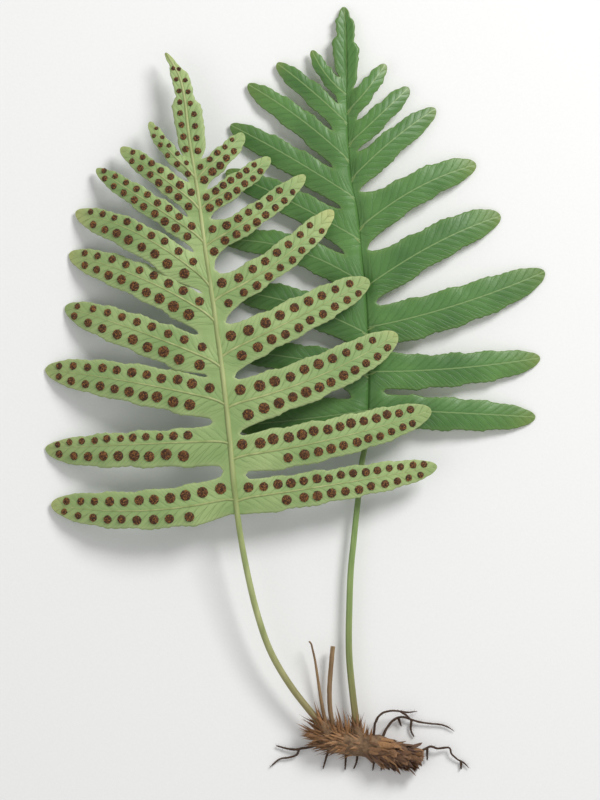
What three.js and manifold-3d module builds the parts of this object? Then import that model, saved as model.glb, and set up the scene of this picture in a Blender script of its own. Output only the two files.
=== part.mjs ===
// A whole polypody fern, uprooted and laid down: two fronds on a short scaly rhizome with its roots.
// Millimetres, +Z up. The plant lies on the plane z = 0, with the fronds pointing along +Y.
// The origin is on the small flat spot under the rhizome.
import * as THREE from "three";
import { mergeGeometries, mergeVertices } from "three/addons/utils/BufferGeometryUtils.js";
import Module from "manifold-3d";

const wasm = await Module();
wasm.setup();

// Blades
const BLADE_THICKNESS = 0.8;
const RIB_HEIGHT = 0.55;
const RIB_TAPER = 0.7; // share of its height that a rib loses towards the tip
const RIB_FOOT = 0.15; // share of a lobe's half width that the foot of its rib takes
const GROOVE = 0.3; // depth of the groove over a rib, as a share of its height
const MARGIN_WAVE = 0.4;
const MARGIN_DROOP = 0.9; // how far a margin lies below its rib
const COLUMN_STEP = 7.6; // length of blade between two crests or troughs of the waved margin
const FEWEST_COLUMNS = 6;
const TIP_CROWDING = 1.25;
const SINUS_AT = 0.07; // share of a lobe's length at which it parts from its neighbours
const NOTCH_SPAN = 0.2; // share of the length over which the round notch runs out
const NOTCH_EASE = 1.4; // above 1, the margin leaves the notch in a curve
const TERMINAL_TAPER = 0.45; // how much narrower the terminal segment is towards its tip
const TERMINAL_SLANT = 0.4; // how far forward its veins run to the margin
const RIB_ROWS = [-1, -RIB_FOOT, 0, RIB_FOOT, 1]; // from the upper margin over the rib to the lower one

// Sori: round spore heaps in two rows on the underside, larger and further apart on a wide lobe
const SORUS_RADIUS = { least: 1.35, growth: 0.17, share: 0.5 }; // growth and share are of the half width
const SORUS_PITCH = { least: 3.75, growth: 0.3 };
const SORUS_HEIGHT = 1;
const SORUS_SUNK = 0.3;
const SORUS_SIDES = 5;
const SORUS_ROW = 0.5; // share of the half width at which a row runs
const ROW_END = { share: 0.96, short: 3 }; // short is in mm, so that a short lobe has a bare tip too
const ROW_CROWDING = 0.92;
const SORUS_SHRINK = 0.38; // share of its radius that a sorus loses towards the tip
const TERMINAL_SORI = 8;
const TERMINAL_ROW = { start: 0.06, end: 0.84, v: 0.46 };
const TERMINAL_RADII = [1.8, 1];

// Stipe and rachis, one limb from the tip of the blade to the foot
const FOOT_RADIUS = 1.5;
const TIP_RADIUS = 0.5;
const AXIS_SIDES = 8;
const AXIS_STEPS = 26;

// Rhizome
const RHIZOME_RADIUS = 5.1;
const RHIZOME_AXIS = [
  [-16.5, 4, 4.9], [-9, 2.2, 4.7], [0, 0.7, 4.6], [11, -1.2, 4.6], [18.5, -3.1, 4.6], [25, -4.2, 4.5],
];
const GROUND_SIZE = 200; // the flat spot under the rhizome is cut with a block of this size
const ROUNDING_FROM = 0.68; // share of its length past which the body narrows to its old end
const OLD_END = 0.42; // radius at that end, as a share of the full one
const RHIZOME_SIDES = 10;
const RHIZOME_STEPS = 12;
const KNOB_RADII = [2.4, 3.1];
const KNOB_STATIONS = [-1.6, 1.6, 4]; // along the stipe, from its foot inwards
const SEED = 7;

// Scales of the rhizome: bristles in a tuft, and flat ones in rings
const SCALE_SIDES = 4;
const BRISTLE = { halfWidth: 0.85, flatness: 0.5 };
const FLAT_SCALE = { halfWidth: 1.25, flatness: 0.8 };
const TUFT_SCALES = 24;
const TUFT_TURN = [172, 78]; // degrees from +X, from the growing tip along the upper side
const TUFT_TILT = [-8, 40]; // degrees over the ground
const TUFT_FEET = [0.03, 0.52]; // shares of the rhizome's length
const TUFT_LENGTHS = [8.5, 14.5];
const SCALE_RINGS = 6;
const SCALES_A_RING = 6;
const COAT_SPAN = [0.16, 0.84]; // shares of the rhizome's length
const COAT_SUNK = 1.4;
const COAT_SPREAD = [0.3, 0.42]; // how far a flat scale stands away from the body
const COAT_LENGTHS = [6, 7.5];
const PARTING = 0.48; // share of the rhizome's length past which the scales point to its old end
const TONGUE = { halfWidth: 1.6, flatness: 0.7 }; // the broad scales of the old end
const TONGUE_LENGTHS = [7.5, 9];

// Everything that grows from the rhizome sits in a socket of its own, this far clear of it
const SEAT_GAP = 0.3;

// One lobe: base = Y of the foot of its rib on the rachis; mid and tip = points of the rib in plan;
// up and low = half widths above and below the rib; sinus = bottom of the notch below the lobe.
const FRONT_LEFT = [
  { base: 245, mid: [-79, 256], tip: [-87.5, 268], up: 2.8, low: 3, sinus: [-71, 241.5] },
  { base: 231, mid: [-83, 244], tip: [-100.5, 256.5], up: 4.2, low: 5, sinus: [-71.5, 226.5] },
  { base: 217, mid: [-87, 232], tip: [-111, 247.5], up: 4.3, low: 5.4, sinus: [-69, 211.5] },
  { base: 198, mid: [-91, 218.5], tip: [-120, 229], up: 4.8, low: 7.4, sinus: [-65.5, 194] },
  { base: 183, mid: [-90.5, 200], tip: [-122.5, 209.5], up: 5.8, low: 8.1, sinus: [-67, 176.5] },
  { base: 163.5, mid: [-90.5, 177], tip: [-124.5, 187], up: 6.4, low: 8.1, sinus: [-63, 158.5] },
  { base: 147.5, mid: [-92.5, 155.5], tip: [-133, 161.5], up: 7.4, low: 8.9, sinus: [-61, 139] },
  { base: 131, mid: [-92.5, 129.5], tip: [-133, 127.5], up: 5.5, low: 10, sinus: [-56.5, 118] },
  { base: 107, mid: [-91, 101], tip: [-130.5, 103.5], up: 8.6, low: 7.9, sinus: [-53.3, 99.5] },
];
const FRONT_RIGHT = [
  { base: 243.5, mid: [-58, 252.5], tip: [-48, 262.5], up: 3.4, low: 4.2, sinus: [-63.5, 238.5] },
  { base: 231, mid: [-51.5, 240.5], tip: [-36.5, 252], up: 4.4, low: 4.7, sinus: [-62, 226] },
  { base: 215, mid: [-42.5, 227.5], tip: [-21.5, 244.5], up: 5, low: 4.9, sinus: [-59, 202.2] },
  { base: 191.5, mid: [-33, 207.5], tip: [-9.5, 229.5], up: 6.6, low: 5.7, sinus: [-55, 180.5] },
  { base: 167.5, mid: [-25, 183.5], tip: [6, 199.5], up: 8.2, low: 7.6, sinus: [-51, 157] },
  { base: 146, mid: [-17, 158], tip: [18, 176.5], up: 9, low: 9, sinus: [-49.5, 133.5] },
  { base: 124, mid: [-8.5, 132], tip: [32.5, 144], up: 8.8, low: 8.8, sinus: [-46.5, 115] },
  { base: 106, mid: [-7.5, 112.5], tip: [35, 120], up: 6.7, low: 7.2, sinus: [-47.3, 99.5] },
];
const BACK_LEFT = [
  { base: 279.5, mid: [-12, 287.5], tip: [-18.5, 298.5], up: 3, low: 3, sinus: [-7.3, 275.5] },
  { base: 267, mid: [-18.5, 281], tip: [-33.5, 293], up: 3.7, low: 5.1, sinus: [-9.5, 264] },
  { base: 251, mid: [-23.5, 269], tip: [-46, 284], up: 4.3, low: 6.4, sinus: [-9.5, 248] },
  { base: 235, mid: [-27, 252], tip: [-53.5, 266.5], up: 5.1, low: 6.6, sinus: [-6, 230.5] },
  { base: 217, mid: [-27.5, 233.5], tip: [-55.5, 246.5], up: 5.8, low: 6.3, sinus: [-4.4, 211] },
  { base: 198, mid: [-26.5, 213], tip: [-57, 217], up: 6, low: 6, sinus: [-3.2, 192.5] },
  { base: 176.5, mid: [-23.5, 189], tip: [-54.5, 195.5], up: 6.8, low: 7, sinus: [-2, 171] },
  { base: 159, mid: [-23.5, 166], tip: [-51.5, 169], up: 6.2, low: 6.5, sinus: [-1.6, 149.5] },
  { base: 144, mid: [-23.5, 140], tip: [-50.5, 137.5], up: 7.3, low: 7.5, sinus: [2, 131.5] },
];
const BACK_RIGHT = [
  { base: 272, mid: [4.7, 281], tip: [13, 292.5], up: 3.8, low: 3.8, sinus: [0.6, 268.5] },
  { base: 258, mid: [10.5, 270.5], tip: [23, 282.5], up: 4.2, low: 4.7, sinus: [0.9, 255] },
  { base: 243, mid: [15, 259], tip: [34.5, 273.5], up: 4.6, low: 6.4, sinus: [1.8, 238] },
  { base: 222, mid: [26, 239], tip: [52, 249.5], up: 6, low: 6.9, sinus: [5.2, 213] },
  { base: 196.5, mid: [33.5, 215], tip: [62.5, 227.5], up: 7.2, low: 7.6, sinus: [9, 190] },
  { base: 179.5, mid: [43, 189], tip: [81.5, 203.5], up: 7.6, low: 9, sinus: [13, 171] },
  { base: 160.5, mid: [43, 162], tip: [79.5, 166.5], up: 6.4, low: 7.6, sinus: [12, 152] },
  { base: 144.5, mid: [41, 143], tip: [77.5, 141], up: 6.2, low: 7.7, sinus: [7.8, 132] },
];

// Each frond: axis = points of the rachis and stipe from the tip of the blade down to the foot;
// top = notch between the terminal segment and the first lobe of a side; terminal = half
// width of the terminal segment; rise = how far the lobes arch up; lifts = heights of their tips over
// the floor, from the top lobe down; bareUp and bareLow = shares of its length at which the rows of
// sori of a lobe begin, above and below the rib; abaxialUp = whether the underside shows.
const FRONT = {
  axis: [
    [-81, 297, 9], [-75, 286, 11], [-71, 260, 14], [-67.5, 238, 16], [-64, 212, 17.5], [-60.5, 188, 18.5],
    [-57, 162, 19], [-54.5, 140, 19], [-52, 114, 18], [-50.5, 100, 17], [-47.5, 81, 15], [-42, 57, 12.5],
    [-36, 40, 10.5], [-27.5, 25.5, 9], [-19, 14.5, 8], [-13.8, 8.2, 7.2],
  ],
  left: {
    lobes: FRONT_LEFT, side: -1, top: [-73.5, 252.5], terminal: 6.4, rise: 2,
    lifts: [9, 6, 3, 1, 0, 0, 0, 0, 1],
    bareUp: [0.08, 0.08, 0.08, 0.1, 0.1, 0.09, 0.08, 0.22, 0.08],
    bareLow: [0.11, 0.11, 0.15, 0.18, 0.17, 0.13, 0.21, 0.27, 0.27],
  },
  right: {
    lobes: FRONT_RIGHT, side: 1, top: [-66, 251.5], terminal: 6.4, rise: 1.5,
    lifts: [12, 12, 12, 12, 12, 12, 12, 11],
    bareUp: [0.08, 0.08, 0.08, 0.09, 0.08, 0.09, 0.07, 0.07],
    bareLow: [0.11, 0.11, 0.09, 0.11, 0.13, 0.12, 0.27, 0.26],
  },
  abaxialUp: true,
};
const BACK = {
  axis: [
    [-4.7, 317, 1.2], [-4, 307, 2.5], [-3.5, 273, 5], [-1.7, 243, 6], [0.9, 230, 6], [2.6, 213, 6],
    [4.7, 191, 6], [5.6, 170, 6], [5.6, 148, 6], [4.7, 131, 6], [3, 122, 6], [1.3, 106, 5.5],
    [0, 94, 5], [-1.8, 87, 5], [-2.6, 62, 5], [-2.6, 40, 5], [-0.9, 21, 5.2], [0.9, 7, 5.4],
  ],
  left: {
    lobes: BACK_LEFT, side: -1, top: [-6.5, 287], terminal: 6.4, rise: 0.5,
    lifts: [2, 1, 1, 1, 1, 1, 1, 1, 1],
  },
  right: {
    lobes: BACK_RIGHT, side: 1, top: [-1, 282], terminal: 5.8, rise: 2,
    lifts: [3, 2, 1, 1, 0, 0, 0, 0],
  },
  abaxialUp: false,
};

// Stubs and roots: points from the free end to the foot inside the rhizome, then the two radii
const STUBS = {
  stipe_stub_thin: {
    points: [[-19.8, 44.8, 6.4], [-18.9, 43.9, 6.3], [-18.4, 42, 6.1], [-17.2, 36.6, 5.4], [-15.9, 28, 4.6],
      [-14.6, 19.4, 3.8], [-13.4, 13.3, 3.4], [-12, 8, 3.2], [-11.2, 4.2, 3.2]],
    radii: [0.35, 0.9],
  },
  stipe_stub_thick: {
    points: [[-9.5, 42.6, 5.2], [-10.3, 34.4, 4.6], [-11, 23.7, 4.2], [-10.6, 14.6, 4.1], [-9.4, 8, 4.1],
      [-8.6, 4, 4.1]],
    radii: [0.95, 1.05],
  },
};
const ROOTS = {
  root_left: {
    main: [[-36.6, -9.5, 0.8], [-32.3, -6, 1], [-28, -5.2, 1.4], [-25, -4, 1.9], [-23.8, -1.6, 2.4],
      [-20.5, -1, 2.9], [-17.6, -0.2, 3.3], [-14, 1.2, 3.8]],
    branches: [[[-34, -0.2, 1], [-28, -1.7, 1.5], [-23.8, -1.8, 2.4]]],
  },
  root_right: {
    main: [[49, -9.9, 0.8], [46.9, -7.7, 1], [43.9, -6, 1.4], [41.4, -3.6, 1.9], [40.6, -1.2, 2.2],
      [35.3, -1.3, 2.8], [32.3, -0.5, 3.4], [28.6, -2.2, 4.1], [21.5, -3.7, 4.6]],
    branches: [[[31, -6.5, 1.8], [31, -3.6, 2.8], [31, -1, 3.7]], [[45.6, -10.4, 0.8], [45.6, -7, 1.2]]],
  },
  root_arch_upper: {
    main: [[26.7, 14.6, 1.4], [22.8, 14.2, 3.4], [19.4, 14.7, 5], [15.9, 15, 6.2], [12.9, 14.5, 7],
      [10.2, 12.8, 7.2], [8.6, 9.5, 6.8], [8.1, 6, 6], [7.8, 1.8, 5.2]],
    branches: [[[23.9, 11.2, 5.2], [22, 13, 5.4], [19.6, 14.7, 5]]],
  },
  root_arch_lower: {
    main: [[42.6, 6, 0.8], [40, 7.7, 1], [37, 8.8, 1.2], [33.1, 9.2, 1.4], [28, 9.9, 1.7], [24.5, 10.9, 2],
      [21.5, 12, 2.4], [18.9, 12, 2.8], [16.3, 10.7, 3.2], [13.8, 7.6, 3.7], [12.2, 4.6, 4.1],
      [11.6, 1.4, 4.3]],
    branches: [[[19.9, 8, 1], [18.6, 11.8, 2.8]], [[25.4, 3.4, 0.8], [24, 6.5, 1.2], [24.3, 11, 2]]],
  },
  root_short_1: { main: [[-13.8, -10.3, 1], [-12.6, -6, 2.2], [-11, -0.6, 3.4]], branches: [] },
  root_short_2: { main: [[-4.3, -10.8, 1], [-4.1, -7.4, 1.8], [-3.8, -2.2, 2.8]], branches: [] },
  root_short_3: { main: [[-0.6, -10.3, 1.2], [0.6, -7.2, 2.2], [1.2, -2.8, 3.2]], branches: [] },
  root_short_4: { main: [[7.6, -11, 1], [8, -8, 1.8], [8.3, -3.8, 2.8]], branches: [] },
  root_short_5: { main: [[11.2, -11, 1.2], [11.5, -8.2, 2.2], [11.8, -4, 3.2]], branches: [] },
};
const ROOT_RADII = [0.35, 0.6];
const ROOT_SIDES = 5;
const STUB_SIDES = 7;

const RUSTY_BROWN = 0x6b3f1f;
const PALE_GREEN = 0x8fa75a;
const LEAF_GREEN = 0x3f6b2c;
const STRAW_BROWN = 0x8a6a3c;
const DARK_BROWN = 0x3b2616;

const mix = (a, b, t) => a + (b - a) * t;
const mixPoints = (a, b, t) => a.map((value, k) => mix(value, b[k], t));

// A small generator of even random numbers from 0 to 1, the same on each run
function randomFrom(seed) {
  let state = seed;
  return () => {
    state = (state * 16807) % 2147483647;
    return state / 2147483647;
  };
}

// Loose geometry becomes a closed solid once its shared corners are merged.
function solid(geometry) {
  const bare = new THREE.BufferGeometry();
  bare.setAttribute("position", geometry.getAttribute("position"));
  if (geometry.index) bare.setIndex(geometry.index);
  const merged = mergeVertices(bare, 1e-4);
  const corners = merged.index.array;
  const kept = [];
  for (let k = 0; k < corners.length; k += 3) {
    const [a, b, c] = corners.slice(k, k + 3);
    if (a !== b && b !== c && a !== c) kept.push(a, b, c);
  }
  return new wasm.Manifold(new wasm.Mesh({
    numProp: 3,
    vertProperties: new Float32Array(merged.getAttribute("position").array),
    triVerts: new Uint32Array(kept),
  }));
}

function geometryOf(manifold) {
  const mesh = manifold.getMesh();
  const geometry = new THREE.BufferGeometry();
  geometry.setAttribute("position", new THREE.BufferAttribute(new Float32Array(mesh.vertProperties), 3));
  geometry.setIndex(new THREE.BufferAttribute(new Uint32Array(mesh.triVerts), 1));
  geometry.computeVertexNormals();
  return geometry;
}

const smoothPath = (points) =>
  new THREE.CatmullRomCurve3(points.map((p) => new THREE.Vector3(...p)), false, "centripetal");

// A round limb that tapers along a smooth path: a cylinder whose rings are moved onto the path.
function limb(points, radiusAt, sides, steps) {
  const path = smoothPath(points);
  const frames = path.computeFrenetFrames(steps);
  const geometry = new THREE.CylinderGeometry(1, 1, steps, sides, steps);
  const position = geometry.getAttribute("position");
  const moved = new THREE.Vector3();
  for (let k = 0; k < position.count; k += 1) {
    const ring = Math.round(position.getY(k) + steps / 2);
    const radius = radiusAt(ring / steps);
    moved.copy(path.getPointAt(ring / steps));
    moved.addScaledVector(frames.binormals[ring], position.getX(k) * radius);
    moved.addScaledVector(frames.normals[ring], position.getZ(k) * radius);
    position.setXYZ(k, moved.x, moved.y, moved.z);
  }
  return geometry;
}

// The rachis at a given Y, read off the smooth axis
function rachisOf(axis) {
  const samples = smoothPath(axis).getPoints(400);
  return (y) => {
    const next = Math.max(1, samples.findIndex((p) => p.y <= y));
    const a = samples[next - 1];
    const b = samples[next];
    return new THREE.Vector3().lerpVectors(a, b, (y - a.y) / (b.y - a.y)).toArray();
  };
}

// Half width of a lobe or terminal segment along it, as a share of its half width at the middle
const outline = (u) => (1.12 - 0.24 * u) * Math.max(0, 1 - u ** 7) ** 0.52;

// Lines across a blade lie closer together towards its tip, and evenly turns a share back
const spread = (share) => 1 - (1 - share) ** TIP_CROWDING;
const evenly = (u) => 1 - (1 - u) ** (1 / TIP_CROWDING);

// A lobe as a surface: u runs from the rachis to the tip, v from the upper to the lower margin.
// Lines across it slant forward from the rib as its veins do, each side from its own notch.
function lobeSurface(half, k, rachis) {
  const lobe = half.lobes[k];
  const above = k === 0 ? half.top : half.lobes[k - 1].sinus;
  const root = rachis(lobe.base);
  const tip = [...lobe.tip, half.lifts[k] + BLADE_THICKNESS / 2];
  const bend = [0, 1].map((n) => 2 * lobe.mid[n] - (root[n] + tip[n]) / 2);
  const length = Math.hypot(tip[0] - root[0], tip[1] - root[1]);
  const columns = Math.max(FEWEST_COLUMNS, 2 * Math.round(length / COLUMN_STEP / 2));

  const rib = (t) => [
    ...[0, 1].map((n) => (1 - t) ** 2 * root[n] + 2 * t * (1 - t) * bend[n] + t ** 2 * tip[n]),
    mix(root[2], tip[2], t ** 2) + half.rise * Math.sin(Math.PI * t),
  ];
  const edge = (t, v, wave) => {
    const along = [0, 1].map((n) => (1 - t) * (bend[n] - root[n]) + t * (tip[n] - bend[n]));
    const turn = (v < 0 ? -half.side : half.side) / Math.hypot(...along);
    const width = (v < 0 ? lobe.up : lobe.low) * outline(t) + wave;
    const [x, y, z] = rib(t);
    return [x + along[1] * turn * width, y - along[0] * turn * width, z - MARGIN_DROOP * outline(t) ** 2];
  };
  const notches = [above, lobe.sinus].map(([x, y]) => [x, y, rachis(y)[2] - MARGIN_DROOP / 3]);
  const starts = notches.map((point) => nearestShare(rib, point));
  const free = (u, v) => {
    const side = v < 0 ? 0 : 1;
    const run = (u - SINUS_AT) / (1 - SINUS_AT);
    const t = mix(mix(SINUS_AT, starts[side], Math.abs(v)), 1, run);
    const wave = MARGIN_WAVE * Math.cos(Math.PI * columns * evenly(u)) * (1 - u ** 4);
    const pull = Math.max(0, 1 - run / NOTCH_SPAN) ** NOTCH_EASE;
    const start = edge(starts[side], v, 0);
    const margin = edge(t, v, wave * (1 - pull)).map((value, n) =>
      value + (notches[side][n] - start[n]) * pull);
    const [x, y, z] = rib(t);
    return [mix(x, margin[0], Math.abs(v)), mix(y, margin[1], Math.abs(v)), mix(z, margin[2], v ** 2)];
  };
  const at = (u, v) => {
    if (u >= SINUS_AT) return free(u, v);
    const station = mix(lobe.base, (v < 0 ? above : lobe.sinus)[1], Math.abs(v));
    return mixPoints(rachis(station), free(SINUS_AT, v), u / SINUS_AT);
  };
  const us = [0, SINUS_AT];
  for (let column = 2; column <= columns; column += 1) us.push(spread(column / columns));
  return { at, us, vs: RIB_ROWS, length };
}

// The share of a rib at which it passes nearest to a point, in plan
function nearestShare(rib, [x, y]) {
  const shares = Array.from({ length: 51 }, (_, k) => 0.01 * k);
  const distance = (t) => Math.hypot(rib(t)[0] - x, rib(t)[1] - y);
  return shares.reduce((best, t) => (distance(t) < distance(best) ? t : best));
}

// Half of the terminal segment: u runs from its base to its tip, v from the rachis to the margin.
function terminalSurface(half, rachis, axis) {
  const [foot, top] = [half.top[1], axis[0][1]];
  const columns = FEWEST_COLUMNS;
  const at = (u, v) => {
    const centre = rachis(mix(foot, top, Math.min(u, 0.999)));
    if (u === 0) return mixPoints(centre, [...half.top, centre[2] - MARGIN_DROOP / 3], v);
    const wave = 2 * MARGIN_WAVE * Math.cos(Math.PI * columns * evenly(u)) * (1 - u ** 4);
    const width = half.terminal * (1 - TERMINAL_TAPER * u) * outline(u) + wave;
    const drop = MARGIN_DROOP / 3 * v;
    return [centre[0] + half.side * width * v, centre[1] + TERMINAL_SLANT * width * v, centre[2] - drop];
  };
  return { at, us: Array.from({ length: columns + 1 }, (_, k) => spread(k / columns)), vs: [0, 1] };
}

// Cells of one surface, two triangles each, as plan points with the height of the rib on them
function cellsOf({ at, us, vs }, ribAt) {
  const corner = (u, v) => ({ point: at(u, v), rib: ribAt(u, v) });
  const triangles = [];
  for (let i = 0; i + 1 < us.length; i += 1) {
    for (let j = 0; j + 1 < vs.length; j += 1) {
      const [a, b] = [corner(us[i], vs[j]), corner(us[i + 1], vs[j])];
      const [c, d] = [corner(us[i + 1], vs[j + 1]), corner(us[i], vs[j + 1])];
      if (vs[j] < 0) triangles.push([a, b, d], [b, c, d]);
      else triangles.push([a, b, c], [a, c, d]);
    }
  }
  return triangles;
}

// A closed sheet from plan triangles: both faces are split alike, with a wall round their edge.
function sheet(triangles, topAt, bottomAt) {
  const corners = new Map();
  const key = ({ point }) => `${point[0].toFixed(3)} ${point[1].toFixed(3)}`;
  const positions = [];
  const index = (corner) => {
    const name = key(corner);
    if (!corners.has(name)) {
      corners.set(name, corners.size);
      const [x, y, z] = corner.point;
      positions.push([x, y, z + topAt(corner.rib)], [x, y, z + bottomAt(corner.rib)]);
    }
    return corners.get(name);
  };
  const faces = [];
  const edges = new Map();
  for (const triangle of triangles) {
    let [a, b, c] = triangle.map(index);
    if (a === b || b === c || a === c) continue;
    const [p, q, r] = [a, b, c].map((k) => positions[2 * k]);
    if ((q[0] - p[0]) * (r[1] - p[1]) < (q[1] - p[1]) * (r[0] - p[0])) [b, c] = [c, b];
    faces.push([2 * a, 2 * b, 2 * c], [2 * a + 1, 2 * c + 1, 2 * b + 1]);
    for (const [from, to] of [[a, b], [b, c], [c, a]]) edges.set(`${from} ${to}`, [from, to]);
  }
  for (const [from, to] of edges.values()) {
    if (edges.has(`${to} ${from}`)) continue;
    faces.push([2 * from, 2 * from + 1, 2 * to + 1], [2 * from, 2 * to + 1, 2 * to]);
  }
  const geometry = new THREE.BufferGeometry();
  geometry.setAttribute("position", new THREE.BufferAttribute(new Float32Array(positions.flat()), 3));
  geometry.setIndex(faces.flat());
  return geometry;
}

// One side of a blade: half the terminal segment and the lobes below it, as one sheet
function halfBlade(frond, half, rachis) {
  const terminal = terminalSurface(half, rachis, frond.axis);
  const triangles = cellsOf(terminal, () => 0);
  const surfaces = [];
  half.lobes.forEach((_, k) => {
    const surface = lobeSurface(half, k, rachis);
    triangles.push(...cellsOf(surface, (u, v) => (v === 0 ? RIB_HEIGHT * (1 - RIB_TAPER * u) : 0)));
    surfaces.push(surface);
  });
  const skin = BLADE_THICKNESS / 2;
  const geometry = frond.abaxialUp
    ? sheet(triangles, (rib) => skin + rib, () => -skin)
    : sheet(triangles, (rib) => skin - GROOVE * rib, (rib) => -skin - rib);
  return { geometry, surfaces, terminal };
}

// The triangle of a surface that holds the share (u, v), as a point on it and its upward normal
function onFacets({ at, us, vs }, u, v) {
  const i = us.findIndex((share, k) => k + 1 === us.length - 1 || u <= us[k + 1]);
  const j = vs.findIndex((share, k) => k + 1 === vs.length - 1 || v <= vs[k + 1]);
  const corner = (k, l) => new THREE.Vector3(...at(us[k], vs[l]));
  const [a, b, c, d] = [corner(i, j), corner(i + 1, j), corner(i + 1, j + 1), corner(i, j + 1)];
  const s = (u - us[i]) / (us[i + 1] - us[i]);
  const t = (v - vs[j]) / (vs[j + 1] - vs[j]);
  const near = vs[j] < 0 ? s + t <= 1 : s >= t;
  const [origin, along, across] = vs[j] < 0
    ? (near ? [a, b.clone().sub(a), d.clone().sub(a)] : [c, d.clone().sub(c), b.clone().sub(c)])
    : (near ? [a, b.clone().sub(a), c.clone().sub(b)] : [a, c.clone().sub(d), d.clone().sub(a)]);
  const [p, q] = vs[j] < 0 && !near ? [1 - s, 1 - t] : [s, t];
  const normal = along.clone().cross(across).normalize();
  if (normal.z < 0) normal.negate();
  return { point: origin.clone().addScaledVector(along, p).addScaledVector(across, q), normal };
}

// A sorus: a low dome of few sides, its foot sunk into the blade, square to the surface
function sorus(surface, u, v, radius) {
  const { point, normal } = onFacets(surface, u, v);
  const dome = new THREE.ConeGeometry(radius, SORUS_HEIGHT + SORUS_SUNK, SORUS_SIDES);
  dome.deleteAttribute("uv");
  dome.applyQuaternion(new THREE.Quaternion().setFromUnitVectors(new THREE.Vector3(0, 1, 0), normal));
  const middle = BLADE_THICKNESS / 2 + (SORUS_HEIGHT - SORUS_SUNK) / 2;
  dome.translate(...point.addScaledVector(normal, middle).toArray());
  return dome;
}

// The rows of sori on one side of a blade, closer together and smaller towards the tips
function soriOf(half, surfaces, terminal) {
  const domes = [];
  half.lobes.forEach((lobe, k) => {
    const { length } = surfaces[k];
    const end = ROW_END.share - ROW_END.short / length;
    const rows = [[-SORUS_ROW, half.bareUp[k], lobe.up], [SORUS_ROW, half.bareLow[k], lobe.low]];
    for (const [v, start, width] of rows) {
      const pitch = SORUS_PITCH.least + SORUS_PITCH.growth * width;
      const gaps = Math.round((end - start) * length / pitch);
      const widest = Math.min(SORUS_RADIUS.least + SORUS_RADIUS.growth * width, SORUS_RADIUS.share * width);
      for (let n = 0; n <= gaps; n += 1) {
        const u = mix(start, end, (n / gaps) ** ROW_CROWDING);
        domes.push(sorus(surfaces[k], u, v, widest * (1 - SORUS_SHRINK * u ** 2)));
      }
    }
  });
  for (let n = 0; n < TERMINAL_SORI; n += 1) {
    const u = mix(TERMINAL_ROW.start, TERMINAL_ROW.end, n / (TERMINAL_SORI - 1));
    domes.push(sorus(terminal, u, TERMINAL_ROW.v, mix(...TERMINAL_RADII, u)));
  }
  return domes;
}

const axisRadius = (t) => TIP_RADIUS + (FOOT_RADIUS - TIP_RADIUS) * t ** 0.7;

function makeFrond(frond) {
  const rachis = rachisOf(frond.axis);
  let body = solid(limb(frond.axis, axisRadius, AXIS_SIDES, AXIS_STEPS));
  for (const half of [frond.left, frond.right]) {
    const { geometry, surfaces, terminal } = halfBlade(frond, half, rachis);
    body = body.add(solid(geometry));
    if (frond.abaxialUp) body = body.add(solid(mergeGeometries(soriOf(half, surfaces, terminal))));
  }
  return body;
}

// Roots and stubs, and the sockets that hold them: the same limbs, wider by a gap
function makeRoot({ main, branches }, gap = 0) {
  const radius = (t) => mix(...ROOT_RADII, t) + gap;
  const limbs = [main, ...branches].map((points) => solid(limb(points, radius, ROOT_SIDES, points.length)));
  return limbs.reduce((sum, part) => sum.add(part));
}

function makeStub({ points, radii }, gap = 0) {
  return solid(limb(points, (t) => mix(...radii, t) + gap, STUB_SIDES, points.length + 1));
}

// The same points with the foot pushed further in, so that the socket is a gap deeper too
function deeper(points) {
  const { foot, inward } = footOf(points);
  return [...points.slice(0, -1), foot.addScaledVector(inward, SEAT_GAP).toArray()];
}

function footOf(points) {
  const [before, foot] = points.slice(-2).map((p) => new THREE.Vector3(...p));
  return { foot, inward: foot.clone().sub(before).normalize() };
}

// A scale of the rhizome: a flat four-sided spike that leaves its foot in the given direction
function scale(foot, direction, length, { halfWidth, flatness }) {
  const spike = new THREE.ConeGeometry(halfWidth, length, SCALE_SIDES);
  spike.translate(0, length / 2, 0);
  spike.scale(1, 1, flatness);
  spike.applyQuaternion(new THREE.Quaternion().setFromUnitVectors(new THREE.Vector3(0, 1, 0), direction));
  spike.translate(foot.x, foot.y, foot.z);
  return solid(spike);
}

// The bristly tuft: long round the growing tip, then shorter and upright along the upper side
function tuft(path, random) {
  return Array.from({ length: TUFT_SCALES }, (_, n) => {
    const share = n / (TUFT_SCALES - 1);
    const turn = THREE.MathUtils.degToRad(mix(...TUFT_TURN, share ** 0.8 + 0.06 * random()));
    const tilt = THREE.MathUtils.degToRad(mix(...TUFT_TILT, random()));
    const direction = new THREE.Vector3(1, 0, 0).applyEuler(new THREE.Euler(0, -tilt, turn, "ZYX"));
    const foot = path.getPointAt(mix(...TUFT_FEET, share ** 1.6) + 0.05 * random());
    const length = mix(...TUFT_LENGTHS, Math.sin(Math.PI * share ** 0.7)) + 2 * random();
    return scale(foot, direction, length, BRISTLE);
  });
}

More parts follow.
